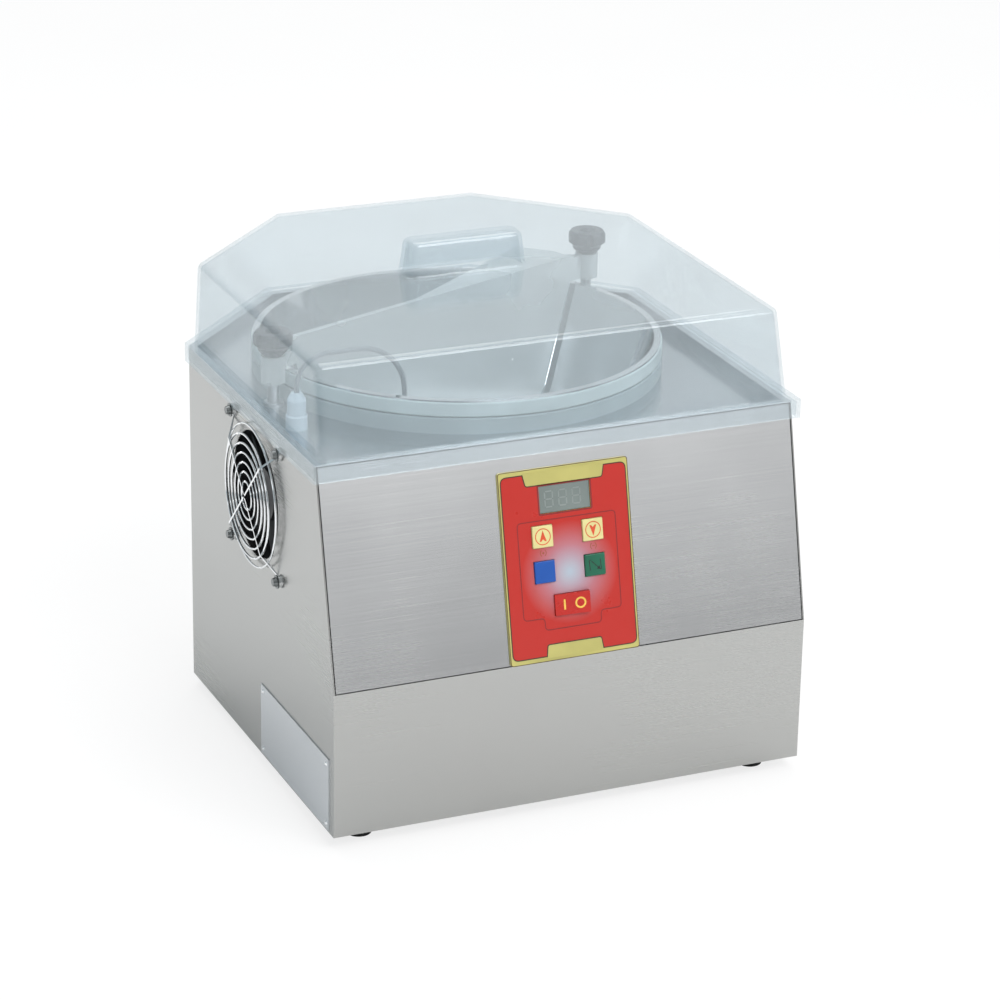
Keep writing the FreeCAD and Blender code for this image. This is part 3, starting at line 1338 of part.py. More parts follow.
def make_power_supply():
    """The transformer and the relay board on the base pan."""
    x = -128
    core = centred_box(62, 54, 18, x, 60, PAN_TOP_Z + 20)
    coil = centred_box(40, 66, 50, x, 60, PAN_TOP_Z + 4)
    feet = centred_box(62, 54, 4, x, 60, PAN_TOP_Z)
    keep("transformer", fuse(core, coil, feet))
    base_z = PAN_TOP_Z + 8
    sheet = centred_box(64, 110, S.board_thickness, 142, 40, base_z)
    relays = [centred_box(20, 16, 15, 130, 10 + 24 * turn, base_z + S.board_thickness) for turn in range(3)]
    keep("relay_board", fuse(sheet, *relays))
    legs = [cylinder(2.5, 8, 142 + 26 * side, 40 + 48 * end, PAN_TOP_Z) for side in (-1, 1) for end in (-1, 1)]
    keep("relay_board_standoffs", group(*legs))


# ---- the whole machine ----

def main():
    """Build every sub-part, check each, and write them out."""
    make_casing()
    make_base_pan()
    make_feet()
    make_deck()
    make_front_panel()
    make_side_label()
    make_rear_panel()
    make_inlet()
    make_rings()
    make_bowl()
    make_bowl_drive()
    make_bridge()
    make_gearmotor()
    make_heater()
    make_divider()
    make_posts()
    make_knobs()
    make_probe()
    make_hood()
    make_fan_frame()
    make_fan_rotor()
    make_fan_screws()
    make_fan_guard()
    make_control_plate()
    make_keys()
    make_display()
    make_board()
    make_rocker()
    make_power_supply()
    doc.recompute()
    for thing in doc.Objects:
        if "Invalid" in thing.State or "Error" in thing.State:
            raise ValueError("%s failed: %s" % (thing.Label, thing.State))
    for name, thing in nodes.items():
        if thing.Shape.isNull() or not thing.Shape.isValid():
            raise ValueError("%s has no valid shape" % name)
    os.makedirs("parts", exist_ok=True)
    for name, thing in nodes.items():
        thing.Shape.exportStep("parts/%s.step" % name)
    print("%d sub-parts" % len(nodes))


main()
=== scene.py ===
import math

import bmesh
import bpy
from mathutils import Matrix, Vector


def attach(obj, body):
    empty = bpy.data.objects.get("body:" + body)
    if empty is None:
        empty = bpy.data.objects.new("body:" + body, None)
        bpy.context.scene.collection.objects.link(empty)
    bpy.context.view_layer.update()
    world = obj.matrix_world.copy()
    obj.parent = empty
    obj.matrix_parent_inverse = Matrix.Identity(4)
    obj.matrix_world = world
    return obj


# A bench-top chocolate tempering machine, dressed for rendering. Metres, +X to the operator's right,
# +Y to the back, +Z up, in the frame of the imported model.

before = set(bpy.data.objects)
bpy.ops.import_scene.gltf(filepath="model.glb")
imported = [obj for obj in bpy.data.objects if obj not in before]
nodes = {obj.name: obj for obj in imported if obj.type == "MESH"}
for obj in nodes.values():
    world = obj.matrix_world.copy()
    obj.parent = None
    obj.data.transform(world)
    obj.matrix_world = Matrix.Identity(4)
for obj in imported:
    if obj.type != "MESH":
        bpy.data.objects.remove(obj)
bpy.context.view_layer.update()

MM = 0.001
LEAN = math.radians(13.1)
BREAK = Vector((0, -0.217, 0.130))
BOWL_AXIS = Vector((0, 0.024, 0))
DECK_Z = 0.290
RIM_Z = 0.300
LIP_Z = 0.3168
FAN_AXIS = Vector((-0.1985, -0.0472, 0.2292))


# ---- materials ----

class Look:
    """One procedural material under construction."""

    def __init__(self, name, colour, rough=0.5, metal=0.0, **settings):
        self.material = bpy.data.materials.new(name)
        self.material.use_nodes = True
        self.tree = self.material.node_tree
        self.shader = self.tree.nodes["Principled BSDF"]
        self.colour = (*colour, 1)
        self.rough = rough
        self.set("Base Color", self.colour)
        self.set("Roughness", rough)
        self.set("Metallic", metal)
        for name_, value in settings.items():
            self.set(name_.replace("_", " "), value)
        self.coords = self.node("ShaderNodeTexCoord").outputs["Object"]

    def set(self, socket, value):
        self.shader.inputs[socket].default_value = value

    def node(self, kind, **values):
        made = self.tree.nodes.new(kind)
        for key, value in values.items():
            setattr(made, key, value)
        return made

    def join(self, source, target):
        self.tree.links.new(source, target)

    def noise(self, scale, detail=3, stretch=(1, 1, 1), rough=0.55):
        """A noise field over the object's own metres, squeezed per axis."""
        mapping = self.node("ShaderNodeMapping")
        mapping.inputs["Scale"].default_value = stretch
        self.join(self.coords, mapping.inputs["Vector"])
        field = self.node("ShaderNodeTexNoise")
        field.inputs["Scale"].default_value = scale
        field.inputs["Detail"].default_value = detail
        field.inputs["Roughness"].default_value = rough
        self.join(mapping.outputs["Vector"], field.inputs["Vector"])
        return field.outputs["Fac"]

    def spread(self, source, low, high, start=0.3, end=0.7):
        """Remap a field between two values."""
        remap = self.node("ShaderNodeMapRange")
        for key, value in (("From Min", start), ("From Max", end), ("To Min", low), ("To Max", high)):
            remap.inputs[key].default_value = value
        self.join(source, remap.inputs["Value"])
        return remap.outputs["Result"]

    def tint(self, source, low, high, start=0.3, end=0.7):
        """Colour between two tones by a field."""
        ramp = self.node("ShaderNodeValToRGB")
        ramp.color_ramp.elements[0].position = start
        ramp.color_ramp.elements[0].color = (*low, 1)
        ramp.color_ramp.elements[1].position = end
        ramp.color_ramp.elements[1].color = (*high, 1)
        self.join(source, ramp.inputs["Fac"])
        return ramp.outputs["Color"]

    def paint(self, source):
        self.join(source, self.shader.inputs["Base Color"])
        return self

    def rub(self, source, low, high):
        """Roughness that wanders between two values."""
        self.join(self.spread(source, low, high), self.shader.inputs["Roughness"])
        return self

    def mix(self, share, first, second):
        """Two shaders mixed by a share."""
        blend = self.node("ShaderNodeMixShader")
        self.join(share, blend.inputs["Fac"])
        self.join(first, blend.inputs[1])
        self.join(second, blend.inputs[2])
        return blend.outputs["Shader"]

    def finish(self, shader):
        self.join(shader, self.tree.nodes["Material Output"].inputs["Surface"])

    def bump(self, source, depth):
        """Relief of a given depth in metres."""
        relief = self.node("ShaderNodeBump")
        relief.inputs["Distance"].default_value = depth
        relief.inputs["Strength"].default_value = 1.0
        self.join(source, relief.inputs["Height"])
        self.join(relief.outputs["Normal"], self.shader.inputs["Normal"])
        return self


def shade(value, factor):
    return tuple(min(1.0, part * factor) for part in value)


def brushed(name, colour, stretch, rough=0.28, line=0.02, depth=2e-6, painted_shade=None):
    """Sheet steel with fine grinding lines along the axis that stretch leaves low.

    The last argument, a painted shade that darkens the sheet towards the bottom, is (low height, high height, tone at
    the low end), in metres.
    """
    look = Look(name, colour, rough, 1.0)
    lines = look.noise(1.0, 2, stretch)
    clouds = look.noise(5.0, 3)
    mixed = look.node("ShaderNodeMath", operation="MULTIPLY_ADD")
    look.join(lines, mixed.inputs[0])
    mixed.inputs[1].default_value = 0.6
    look.join(look.spread(clouds, 0.0, 0.4), mixed.inputs[2])
    tone = look.tint(mixed.outputs[0], shade(colour, 1 - line), shade(colour, 1 + line), 0.25, 0.75)
    if painted_shade:
        # Painted shade: the colour is scaled from full at the high height down to the low tone at the low height.
        low, high, share = painted_shade
        parts = look.node("ShaderNodeSeparateXYZ")
        look.join(look.coords, parts.inputs[0])
        scale = look.node("ShaderNodeVectorMath", operation="SCALE")
        look.join(tone, scale.inputs[0])
        look.join(look.spread(parts.outputs["Z"], share, 1.0, low, high), scale.inputs["Scale"])
        tone = scale.outputs[0]
    look.paint(tone)
    look.rub(mixed.outputs[0], rough - 0.04, rough + 0.05)
    look.bump(lines, depth)
    return look.material


def polished(name, colour, rough=0.06, metal=1.0):
    """Bright metal with faint smears."""
    look = Look(name, colour, rough, metal)
    smear = look.noise(14.0, 4)
    look.paint(look.tint(smear, shade(colour, 0.95), shade(colour, 1.03)))
    look.rub(smear, rough * 0.7, rough * 1.6)
    return look.material


def moulded(name, colour, rough=0.45, grain=2600.0, depth=8e-6, **settings):
    """Moulded plastic or rubber with a fine grain."""
    look = Look(name, colour, rough, 0.0, **settings)
    speck = look.noise(grain, 2)
    clouds = look.noise(22.0, 3)
    look.paint(look.tint(clouds, shade(colour, 0.88), shade(colour, 1.1)))
    look.rub(clouds, rough - 0.06, rough + 0.08)
    look.bump(speck, depth)
    return look.material


def see_through(name, colour, rough, ior=1.49, milk=0.0):
    """Milky plastic that lets some light through for shadows."""
    look = Look(name, colour, rough, 0.0, Transmission_Weight=1.0 - milk, IOR=ior)
    smear = look.noise(9.0, 4)
    look.rub(smear, rough * 0.6, rough * 1.6 + 0.004)
    clear = look.node("ShaderNodeBsdfTransparent")
    clear.inputs["Color"].default_value = (*shade(colour, 0.98), 1)
    path = look.node("ShaderNodeLightPath")
    look.finish(look.mix(path.outputs["Is Shadow Ray"], look.shader.outputs["BSDF"], clear.outputs["BSDF"]))
    return look.material


def thin_sheet(name, through, veil, veil_share, edge_blend):
    """Thin clear plastic: a tinted view through, a pale veil and a sharp gloss towards the edges."""
    look = Look(name, veil, 0.05)
    clear = look.node("ShaderNodeBsdfTransparent")
    clear.inputs["Color"].default_value = (*through, 1)
    haze = look.node("ShaderNodeBsdfDiffuse")
    smear = look.noise(7.0, 4)
    look.join(look.tint(smear, shade(veil, 0.94), shade(veil, 1.04)), haze.inputs["Color"])
    body = look.mix(look.spread(smear, veil_share * 0.9, veil_share * 1.1), clear.outputs["BSDF"],
                    haze.outputs["BSDF"])
    gloss = look.node("ShaderNodeBsdfGlossy")
    gloss.inputs["Color"].default_value = (0.92, 0.95, 0.96, 1)
    look.join(look.spread(smear, 0.02, 0.06), gloss.inputs["Roughness"])
    edge = look.node("ShaderNodeLayerWeight")
    edge.inputs["Blend"].default_value = edge_blend
    path = look.node("ShaderNodeLightPath")
    shine = look.spread(edge.outputs["Facing"], 0.02, 0.42, 0.0, 1.0)
    seen = look.mix(shine, body, gloss.outputs["BSDF"])
    shadow = look.node("ShaderNodeBsdfTransparent")
    shadow.inputs["Color"].default_value = (*shade(through, 0.99), 1)
    look.finish(look.mix(path.outputs["Is Shadow Ray"], seen, shadow.outputs["BSDF"]))
    return look.material


def foil_with_painted_reflection(name, colour, centre, stops):
    """Printed foil with a painted reflection, a round pale patch fading into the foil's colour: stops are (radius in
    metres, colour) round a place on the slope.
    """
    look = Look(name, colour, 0.30)
    place = look.node("ShaderNodeVectorMath", operation="DISTANCE")
    look.join(look.coords, place.inputs[0])
    place.inputs[1].default_value = centre
    reach = stops[-1][0]
    ramp = look.node("ShaderNodeValToRGB")
    while len(ramp.color_ramp.elements) < len(stops):
        ramp.color_ramp.elements.new(0.5)
    for element, (radius, tone) in zip(ramp.color_ramp.elements, stops):
        element.position = radius / reach
        element.color = (*tone, 1)
    look.join(look.spread(place.outputs["Value"], 0.0, 1.0, 0.0, reach), ramp.inputs["Fac"])
    look.paint(ramp.outputs["Color"])
    look.rub(look.noise(40.0, 3), 0.26, 0.36)
    look.bump(look.noise(1800.0, 2), 4e-6)
    return look.material


def dress(material, *names):
    """Give CAD nodes a material."""
    for name in names:
        slots = nodes[name].data.materials
        slots.clear()
        slots.append(material)


STEEL = (0.58, 0.60, 0.62)
# One brushed steel in two brightnesses. The casing's sides and back get a darker copy as painted shade. The front
# panel gets a brighter copy as painted light, plus painted shade that darkens it towards the bottom.
casing_steel_painted_shade = brushed("casing_steel_painted_shade", (0.40, 0.40, 0.39), (4, 4, 1500), 0.24)
front_steel_painted_light_and_shade = brushed("front_steel_painted_light_and_shade", (0.74, 0.745, 0.75), (4, 4, 1500), 0.24, painted_shade=(0.14, 0.29, 0.58))
deck_steel = brushed("deck_steel", (0.62, 0.64, 0.66), (4, 1500, 4), 0.22)
plain_steel = brushed("plain_steel", STEEL, (30, 30, 900), 0.35)
galvanised = brushed("galvanised_steel", (0.52, 0.54, 0.55), (60, 60, 60), 0.42, 0.12)
chrome = polished("bright_chrome", (0.82, 0.83, 0.84), 0.07)
bowl_steel = polished("polished_bowl_steel", (0.80, 0.81, 0.82), 0.10)
dark_metal = polished("black_nickel", (0.16, 0.17, 0.17), 0.22)
aluminium = brushed("turned_aluminium", (0.74, 0.74, 0.75), (300, 300, 300), 0.30)
cast_paint = moulded("grey_casting_paint", (0.16, 0.17, 0.18), 0.45, 900.0, 3e-5)
black_plastic = moulded("black_plastic", (0.018, 0.018, 0.020), 0.42)
rubber = moulded("black_rubber", (0.02, 0.02, 0.02), 0.75, 1600.0, 2e-5)
knob_plastic = moulded("knob_plastic", (0.045, 0.052, 0.06), 0.40)
ring_pale = moulded("pale_ring_plastic", (0.52, 0.60, 0.61), 0.35, 1800.0, 4e-6)
# The fixed ring is the same pale plastic as the bowl ring, darkened as painted shade.
ring_painted_shade = moulded("ring_plastic_painted_shade", (0.33, 0.40, 0.42), 0.35, 1800.0, 4e-6)
gland_plastic = moulded("gland_plastic", (0.50, 0.60, 0.68), 0.40)
probe_coat = moulded("probe_coat", (0.20, 0.23, 0.25), 0.35)
board_green = moulded("board_lacquer", (0.02, 0.14, 0.06), 0.30)
heat_steel = polished("heat_tinted_steel", (0.32, 0.27, 0.22), 0.35)
clear_hood = thin_sheet("clear_hood_acrylic", (0.925, 0.945, 0.955), (0.74, 0.80, 0.83), 0.11, 0.14)
milky = see_through("milky_divider_acrylic", (0.62, 0.66, 0.67), 0.22, milk=0.5)

dress(casing_steel_painted_shade, "casing", "rear_panel")
dress(front_steel_painted_light_and_shade, "front_panel")
dress(deck_steel, "deck")
dress(galvanised, "base_pan", "motor_bridge", "heater_shroud")
dress(rubber, "front_left_foot", "front_right_foot", "rear_left_foot", "rear_right_foot")
dress(plain_steel, "side_plate", "shroud_spacers", "heater_clips", "drive_shaft", "left_post", "right_post")
dress(chrome, "side_plate_rivets", "rear_panel_screws", "post_nuts", "board_standoffs",
      "relay_board_standoffs", "fan_guard_rings", "fan_guard_spokes")
dress(dark_metal, "fan_screws")
dress(black_plastic, "mains_inlet", "fan_frame", "fan_rotor", "rocker_housing", "display_module")
dress(ring_pale, "bowl_ring")
dress(ring_painted_shade, "fixed_ring")
dress(bowl_steel, "bowl")
dress(aluminium, "bowl_hub", "turntable", "bearing_housing")
dress(cast_paint, "gearbox", "motor", "transformer")
dress(heat_steel, "heating_ring")
dress(milky, "divider")
dress(knob_plastic, "left_knob", "right_knob")
dress(gland_plastic, "probe_gland")
dress(probe_coat, "probe_arm", "probe_tip")
dress(clear_hood, "hood")
dress(board_green, "control_board", "relay_board")

RED = (0.45, 0.016, 0.009)
YELLOW = (0.46, 0.42, 0.13)
yellow_foil = moulded("yellow_foil", YELLOW, 0.35)
yellow_key = moulded("yellow_key", (0.66, 0.59, 0.26), 0.32)
# Red field with a painted reflection: a pale blue-grey round patch near the middle that fades out to the red by 40 mm.
painted_reflection_red_foil = foil_with_painted_reflection("painted_reflection_red_foil", RED, (0, 0.067, 0.0016),
                        [(0.0, (0.38, 0.47, 0.54)), (0.010, (0.40, 0.32, 0.38)), (0.022, (0.44, 0.15, 0.18)),
                         (0.032, (0.45, 0.07, 0.07)), (0.040, RED)])
red_key = moulded("red_rocker_plastic", (0.47, 0.014, 0.008), 0.28)
dark_line = moulded("dark_print", (0.055, 0.020, 0.012), 0.40)
dark_red = moulded("dark_red_print", (0.20, 0.012, 0.012), 0.40)
red_print = moulded("red_print", (0.62, 0.07, 0.02), 0.40)
brown_print = moulded("brown_print", (0.28, 0.075, 0.02), 0.40)
yellow_print = moulded("yellow_print", (0.78, 0.50, 0.08), 0.40)
blue_key = moulded("blue_key", (0.004, 0.075, 0.36), 0.30)
green_key = moulded("green_key", (0.004, 0.105, 0.055), 0.30)
window_grey = moulded("window_grey", (0.17, 0.20, 0.19), 0.18, 300.0, 2e-6)
segment_grey = moulded("segment_grey", (0.22, 0.25, 0.24), 0.30)
black_print = moulded("black_print", (0.012, 0.014, 0.014), 0.40)
dress(yellow_foil, "control_plate")
dress(yellow_key, "up_key", "down_key")
dress(blue_key, "program_key")
dress(green_key, "start_key")
dress(red_key, "mains_rocker")
dress(window_grey, "display_window")


# ---- flat prints and foils ----

def on_slope(across=0.0, along=0.0, out=0.0):
    """Place on the leaning front: local x across, y up the slope, z out from the casing's face."""
    up = Vector((0, math.sin(LEAN), math.cos(LEAN)))
    away = Vector((0, -math.cos(LEAN), math.sin(LEAN)))
    turn = Matrix((Vector((1, 0, 0)), up, away)).transposed().to_4x4()
    return Matrix.Translation(BREAK) @ turn @ Matrix.Translation((across, along, out))


def rounded(corners, radius, steps=5):
    """An outline with its corners rounded."""
    outline = []
    for i, corner in enumerate(corners):
        here = Vector(corner)
        back = Vector(corners[i - 1]) - here
        ahead = Vector(corners[(i + 1) % len(corners)]) - here
        reach = min(radius, back.length * 0.45, ahead.length * 0.45)
        start = here + back.normalized() * reach
        end = here + ahead.normalized() * reach
        for step in range(steps + 1):
            share = step / steps
            outline.append(start * (1 - share) ** 2 + here * 2 * share * (1 - share) + end * share ** 2)
    return outline


def rectangle(across, along, width, height, radius):
    """A rounded rectangle round a centre, anticlockwise."""
    x = width / 2
    y = height / 2
    corners = [(across - x, along - y), (across + x, along - y), (across + x, along + y), (across - x, along + y)]
    return rounded(corners, radius)


def ring(radius, steps=40):
    """A circle round the origin, anticlockwise."""
    turns = [math.tau * step / steps for step in range(steps)]
    return [Vector((radius * math.cos(turn), radius * math.sin(turn))) for turn in turns]


def offset(outline, distance):
    """A closed anticlockwise outline, grown by a distance."""
    grown = []
    for i, here in enumerate(outline):
        first = (here - outline[i - 1]).normalized()
        second = (outline[(i + 1) % len(outline)] - here).normalized()
        normals = Vector((first.y + second.y, -first.x - second.x))
        grown.append(here + normals / (1 + first.dot(second)) * distance)
    return grown


def stroke(points, width):
    """The outline of an open line drawn with a given width."""
    line = [Vector(point) for point in points]
    sides = []
    for i, here in enumerate(line):
        first = (here - line[i - 1]).normalized() if i else (line[1] - here).normalized()
        second = (line[i + 1] - here).normalized() if i + 1 < len(line) else first
        normal = Vector((first.y + second.y, -first.x - second.x)) / (1 + first.dot(second)) * (width / 2)
        sides.append((here + normal, here - normal))
    return [side[0] for side in sides] + [side[1] for side in reversed(sides)]


def foil(name, place, body, material, thickness, *shapes):
    """One thin printed piece made of filled shapes; a shape is an outline or a list with its holes."""
    form = bmesh.new()
    for shape in shapes:
        loops = shape if isinstance(shape[0], list) else [shape]
        edges = []
        for loop in loops:
            points = [form.verts.new((x, y, 0)) for x, y in loop]
            edges += [form.edges.new((points[i - 1], points[i])) for i in range(len(points))]
        bmesh.ops.triangle_fill(form, edges=edges, use_beauty=True)
    raised = bmesh.ops.extrude_face_region(form, geom=form.faces[:])
    tops = [part for part in raised["geom"] if isinstance(part, bmesh.types.BMVert)]
    bmesh.ops.translate(form, verts=tops, vec=(0, 0, thickness))
    bmesh.ops.recalc_face_normals(form, faces=form.faces[:])
    mesh = bpy.data.meshes.new(name)
    form.to_mesh(mesh)
    form.free()
    mesh.materials.append(material)
    piece = bpy.data.objects.new(name, mesh)
    bpy.context.scene.collection.objects.link(piece)
    piece.matrix_world = place
    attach(piece, body)
    return piece


PLATE_FACE = 1.6 * MM
KEY_FACE = 3.3 * MM
KEY_SIDE = 17.0 * MM
KEY_COLUMN = 21.0 * MM
UPPER_ROW = 97.3 * MM
LOWER_ROW = 69.8 * MM
FILM = 0.08 * MM


def panel_print():
    """The control plate's print: red field, yellow tabs and the fine lines."""
    keys = [rectangle(x, row, KEY_SIDE + 0.6 * MM, KEY_SIDE + 0.6 * MM, 0.4 * MM)
            for x in (-KEY_COLUMN, KEY_COLUMN) for row in (UPPER_ROW, LOWER_ROW)]
    window = rectangle(0, 125.2 * MM, 42.6 * MM, 21.4 * MM, 0.4 * MM)
    switch = rectangle(0, 42.8 * MM, 29.8 * MM, 17.0 * MM, 0.4 * MM)
    holes = keys + [window, switch]
    field = rectangle(0, 75.0 * MM, 103.4 * MM, 141.0 * MM, 4.5 * MM)
    place = on_slope(0, 0, PLATE_FACE)
    foil("panel_field_edge", place, "machine", dark_line, FILM, [offset(field, 0.9 * MM)] + holes)
    foil("panel_field", place, "machine", painted_reflection_red_foil, FILM * 1.7, [field] + holes)
    top = [(-31.7, 137.3), (31.7, 137.3), (33.8, 147.3), (-33.8, 147.3)]
    bottom = [(-23.6, 2.6), (23.6, 2.6), (22.2, 12.6), (-22.2, 12.6)]
    for name, corners, clip in (("top", top, 146.0), ("bottom", bottom, 3.9)):
        tab = rounded([(x * MM, y * MM) for x, y in corners], 1.6 * MM)
        edge = [Vector((x, min(y, clip * MM) if name == "top" else max(y, clip * MM)))
                for x, y in offset(tab, 0.9 * MM)]
        foil("panel_tab_edge_" + name, place, "machine", dark_line, FILM * 2.4, edge)
        foil("panel_tab_" + name, place, "machine", yellow_foil, FILM * 3.1, tab)
    half = [(23.6, 24.4), (23.6, 33.9), (41.0, 33.9), (41.0, 109.6)]
    frame_line = [(x * MM, y * MM) for x, y in half + [(-x, y) for x, y in reversed(half)]]
    frame_line = rounded(frame_line, 3.4 * MM)
    foil("panel_frame_line", place, "machine", dark_red, FILM * 2.4,
         [offset(frame_line, 0.38 * MM), offset(frame_line, -0.38 * MM)])
    border = rectangle(0, 75.0 * MM, 108.6 * MM, 150.0 * MM, 2.5 * MM)
    foil("panel_outer_line", place, "machine", dark_line, FILM, [offset(border, -0.1 * MM), offset(border, -0.6 * MM)])
    foil("panel_window_line", place, "machine", dark_red, FILM * 2.4,
         [offset(window, 1.3 * MM), offset(window, 0.2 * MM)])
    bracket = [(-1.4, 2.4), (-2.2, 1.2), (-2.5, 0.0), (-2.2, -1.2), (-1.4, -2.4)]
    minus = [(-1.0, 0.0), (1.0, 0.0)]
    plus = [(0.0, -1.0), (0.0, 1.0)]
    for name, x in (("plus", -KEY_COLUMN), ("minus", KEY_COLUMN)):
        lines = [bracket, [(-px, py) for px, py in bracket], minus] + ([plus] if name == "plus" else [])
        shapes = [stroke([(px * MM, py * MM) for px, py in line], 0.55 * MM) for line in lines]
        foil("panel_mark_" + name, on_slope(x, 84.4 * MM, PLATE_FACE), "machine", brown_print, FILM * 2.6, *shapes)


def key_marks():
    """The circled arrows on the yellow keys and the dark sign on the green one."""
    arrow = [(0.0, 4.9), (-2.9, -3.6), (-1.5, -3.6), (0.0, -1.9), (1.5, -3.6), (2.9, -3.6)]
    for name, x, way in (("up_key", -KEY_COLUMN, 1), ("down_key", KEY_COLUMN, -1)):
        place = on_slope(x, UPPER_ROW, KEY_FACE)
        shape = [Vector((px * MM, py * MM * way)) for px, py in arrow]
        foil(name + "_ring", place, name, red_print, FILM, [ring(6.5 * MM), ring(5.8 * MM)])
        foil(name + "_arrow", place, name, red_print, FILM, shape)
    place = on_slope(KEY_COLUMN, LOWER_ROW, KEY_FACE)
    sign = [[(-4.6, -4.0), (-5.0, 3.6), (-3.6, 4.3)], [(-3.2, 3.2), (2.6, -2.6)], [(4.2, 4.2), (4.8, -3.4), (3.6, -4.2)]]
    shapes = [stroke([(px * MM, py * MM) for px, py in line], 0.6 * MM) for line in sign]
    head = [Vector((px * MM, py * MM)) for px, py in ((3.9, -3.9), (3.3, -0.9), (0.9, -3.3))]
    foil("start_key_sign", place, "start_key", black_print, FILM, head, *shapes)


def rocker_marks():
    """The bar and the ring on the two halves of the mains rocker."""
    pivot = on_slope(0, 42.8 * MM, PLATE_FACE - 3.5 * MM) @ Matrix.Rotation(math.radians(-5), 4, "Y")
    ridge = 6.15 * MM
    slope = math.atan2(0.6, 14.3)
    bar = stroke([(0, -4.0 * MM), (0, 4.0 * MM)], 1.5 * MM)
    marks = (("bar", -6.6 * MM, slope, [bar]), ("ring", 6.4 * MM, -slope, [[ring(4.4 * MM), ring(3.0 * MM)]]))
    for name, x, turn, shapes in marks:
        place = pivot @ Matrix.Translation((0, 0, ridge))
        place = place @ Matrix.Rotation(turn, 4, "Y") @ Matrix.Translation((x, 0, 0))
        foil("rocker_" + name, place, "mains_rocker", yellow_print, FILM, *shapes)


def display_digits():
    """Three dim seven-segment digits behind the window's face."""
    bars = [((-2.6, 6.0), (2.6, 6.0)), ((-2.6, 0.0), (2.6, 0.0)), ((-2.6, -6.0), (2.6, -6.0)),
            ((-3.2, 0.6), (-3.2, 5.4)), ((3.2, 0.6), (3.2, 5.4)), ((-3.2, -0.6), (-3.2, -5.4)), ((3.2, -0.6), (3.2, -5.4))]
    for place, x in enumerate((-11.5, 0.0, 11.5), start=1):
        shapes = [stroke([((px + x) * MM, py * MM) for px, py in bar], 1.1 * MM) for bar in bars]
        foil("display_digit_%d" % place, on_slope(-1.5 * MM, 125.2 * MM, PLATE_FACE - 0.6 * MM), "machine",
             segment_grey, FILM, *shapes)


panel_print()
key_marks()
rocker_marks()
display_digits()


# ---- stage ----

def area_light(name, spot, target, size, power, colour=(1, 1, 1)):
    data = bpy.data.lights.new(name, "AREA")
    data.shape = "RECTANGLE"
    data.size, data.size_y = size
    data.energy = power
    data.color = colour
    lamp = bpy.data.objects.new(name, data)
    bpy.context.scene.collection.objects.link(lamp)
    lamp.location = spot
    lamp.rotation_euler = (Vector(target) - Vector(spot)).to_track_quat("-Z", "Y").to_euler()
    return lamp


def make_floor():
    mesh = bpy.data.meshes.new("floor")
    reach = 6.0
    mesh.from_pydata([(-reach, -reach, 0), (reach, -reach, 0), (reach, reach, 0), (-reach, reach, 0)], [],
                     [(0, 1, 2, 3)])
    floor = bpy.data.objects.new("floor", mesh)
    bpy.context.scene.collection.objects.link(floor)
    look = Look("floor_white", (0.92, 0.92, 0.92), 0.9)
    look.paint(look.tint(look.noise(3.0, 2), (0.90, 0.90, 0.90), (0.93, 0.93, 0.93)))
    shine = look.node("ShaderNodeEmission")
    shine.inputs["Color"].default_value = (1, 1, 1, 1)
    shine.inputs["Strength"].default_value = 1.0
    path = look.node("ShaderNodeLightPath")
    share = look.node("ShaderNodeMath", operation="MULTIPLY")
    look.join(path.outputs["Is Camera Ray"], share.inputs[0])
    share.inputs[1].default_value = 0.78
    look.finish(look.mix(share.outputs[0], look.shader.outputs["BSDF"], shine.outputs["Emission"]))
    floor.data.materials.append(look.material)


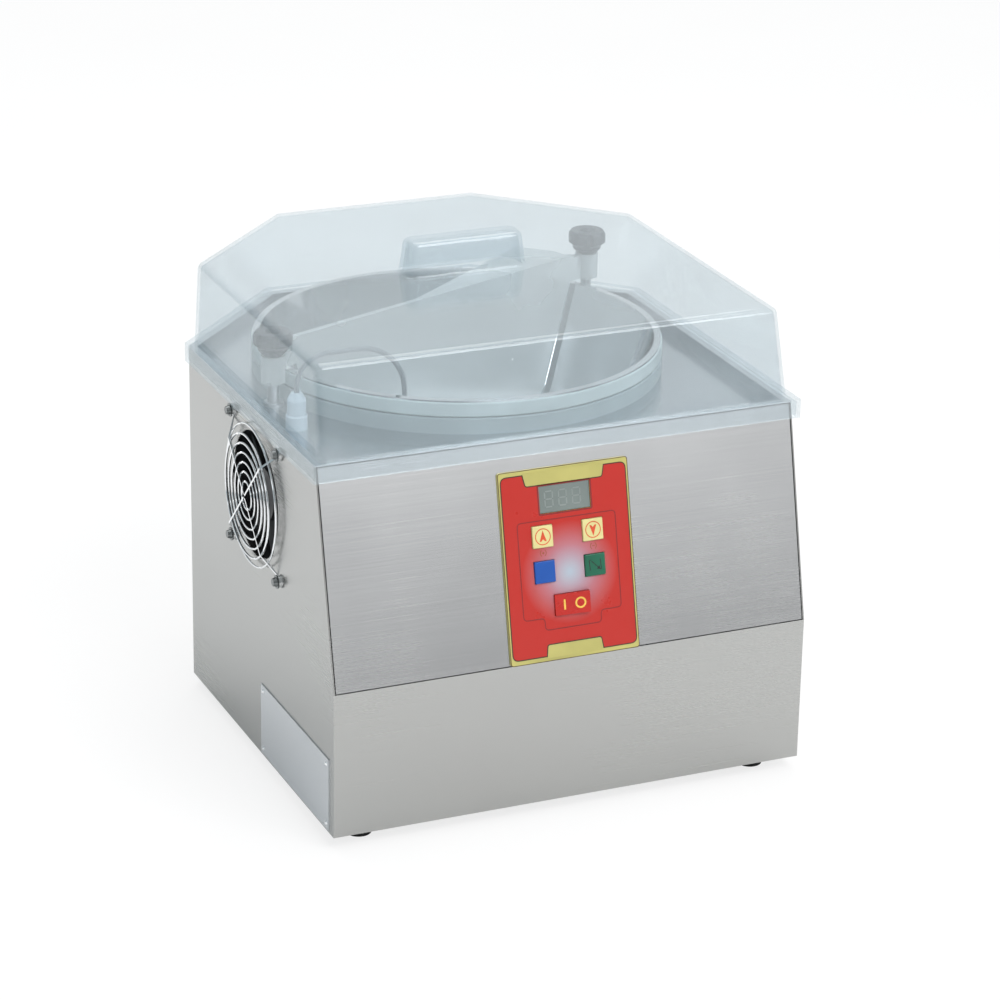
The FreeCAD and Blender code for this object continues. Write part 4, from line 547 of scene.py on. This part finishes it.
def make_world():
    """White where the lens sees it; a soft grey room in reflections and for the light."""
    world = bpy.data.worlds.new("studio")
    bpy.context.scene.world = world
    world.use_nodes = True
    tree = world.node_tree
    room = tree.nodes["Background"]
    coords = tree.nodes.new("ShaderNodeTexCoord")
    parts = tree.nodes.new("ShaderNodeSeparateXYZ")
    ramp = tree.nodes.new("ShaderNodeValToRGB")
    ramp.color_ramp.elements[0].position = 0.35
    ramp.color_ramp.elements[0].color = (0.60, 0.63, 0.66, 1)
    ramp.color_ramp.elements[1].position = 0.62
    ramp.color_ramp.elements[1].color = (1.0, 1.0, 1.0, 1)
    half = tree.nodes.new("ShaderNodeMath")
    half.operation = "MULTIPLY_ADD"
    half.inputs[1].default_value = 0.5
    half.inputs[2].default_value = 0.5
    tree.links.new(coords.outputs["Generated"], parts.inputs["Vector"])
    tree.links.new(parts.outputs["Z"], half.inputs[0])
    tree.links.new(half.outputs[0], ramp.inputs["Fac"])
    left = tree.nodes.new("ShaderNodeMapRange")
    left.inputs["From Min"].default_value = 0.2
    left.inputs["From Max"].default_value = -0.8
    left.inputs["To Max"].default_value = 0.75
    cool = tree.nodes.new("ShaderNodeMix")
    cool.data_type = "RGBA"
    cool.inputs["B"].default_value = (0.32, 0.42, 0.46, 1)
    tree.links.new(parts.outputs["X"], left.inputs["Value"])
    tree.links.new(left.outputs["Result"], cool.inputs["Factor"])
    tree.links.new(ramp.outputs["Color"], cool.inputs["A"])
    tree.links.new(cool.outputs["Result"], room.inputs["Color"])
    room.inputs["Strength"].default_value = 0.78
    white = tree.nodes.new("ShaderNodeBackground")
    white.inputs["Color"].default_value = (1, 1, 1, 1)
    white.inputs["Strength"].default_value = 1.0
    path = tree.nodes.new("ShaderNodeLightPath")
    mix = tree.nodes.new("ShaderNodeMixShader")
    tree.links.new(path.outputs["Is Camera Ray"], mix.inputs["Fac"])
    tree.links.new(room.outputs["Background"], mix.inputs[1])
    tree.links.new(white.outputs["Background"], mix.inputs[2])
    tree.links.new(mix.outputs["Shader"], tree.nodes["World Output"].inputs["Surface"])


def make_camera():
    data = bpy.data.cameras.new("camera")
    data.sensor_width = 36
    data.lens = 130.31
    data.clip_end = 50
    camera = bpy.data.objects.new("camera", data)
    bpy.context.scene.collection.objects.link(camera)
    camera.location = (-1.0796, -2.5183, 1.2690)
    camera.rotation_euler = [math.radians(turn) for turn in (68.312, -0.989, -23.387)]
    bpy.context.scene.camera = camera


make_camera()
make_world()
make_floor()
area_light("key", (0.7, -2.4, 2.7), (0, 0, 0.2), (2.0, 1.6), 62)
area_light("fill", (-2.6, -1.4, 1.6), (0, 0, 0.2), (1.8, 1.8), 8)
area_light("top", (0.2, 0.8, 3.0), (0, 0, 0.2), (2.4, 2.4), 42)
bpy.context.scene.view_settings.view_transform = "Standard"
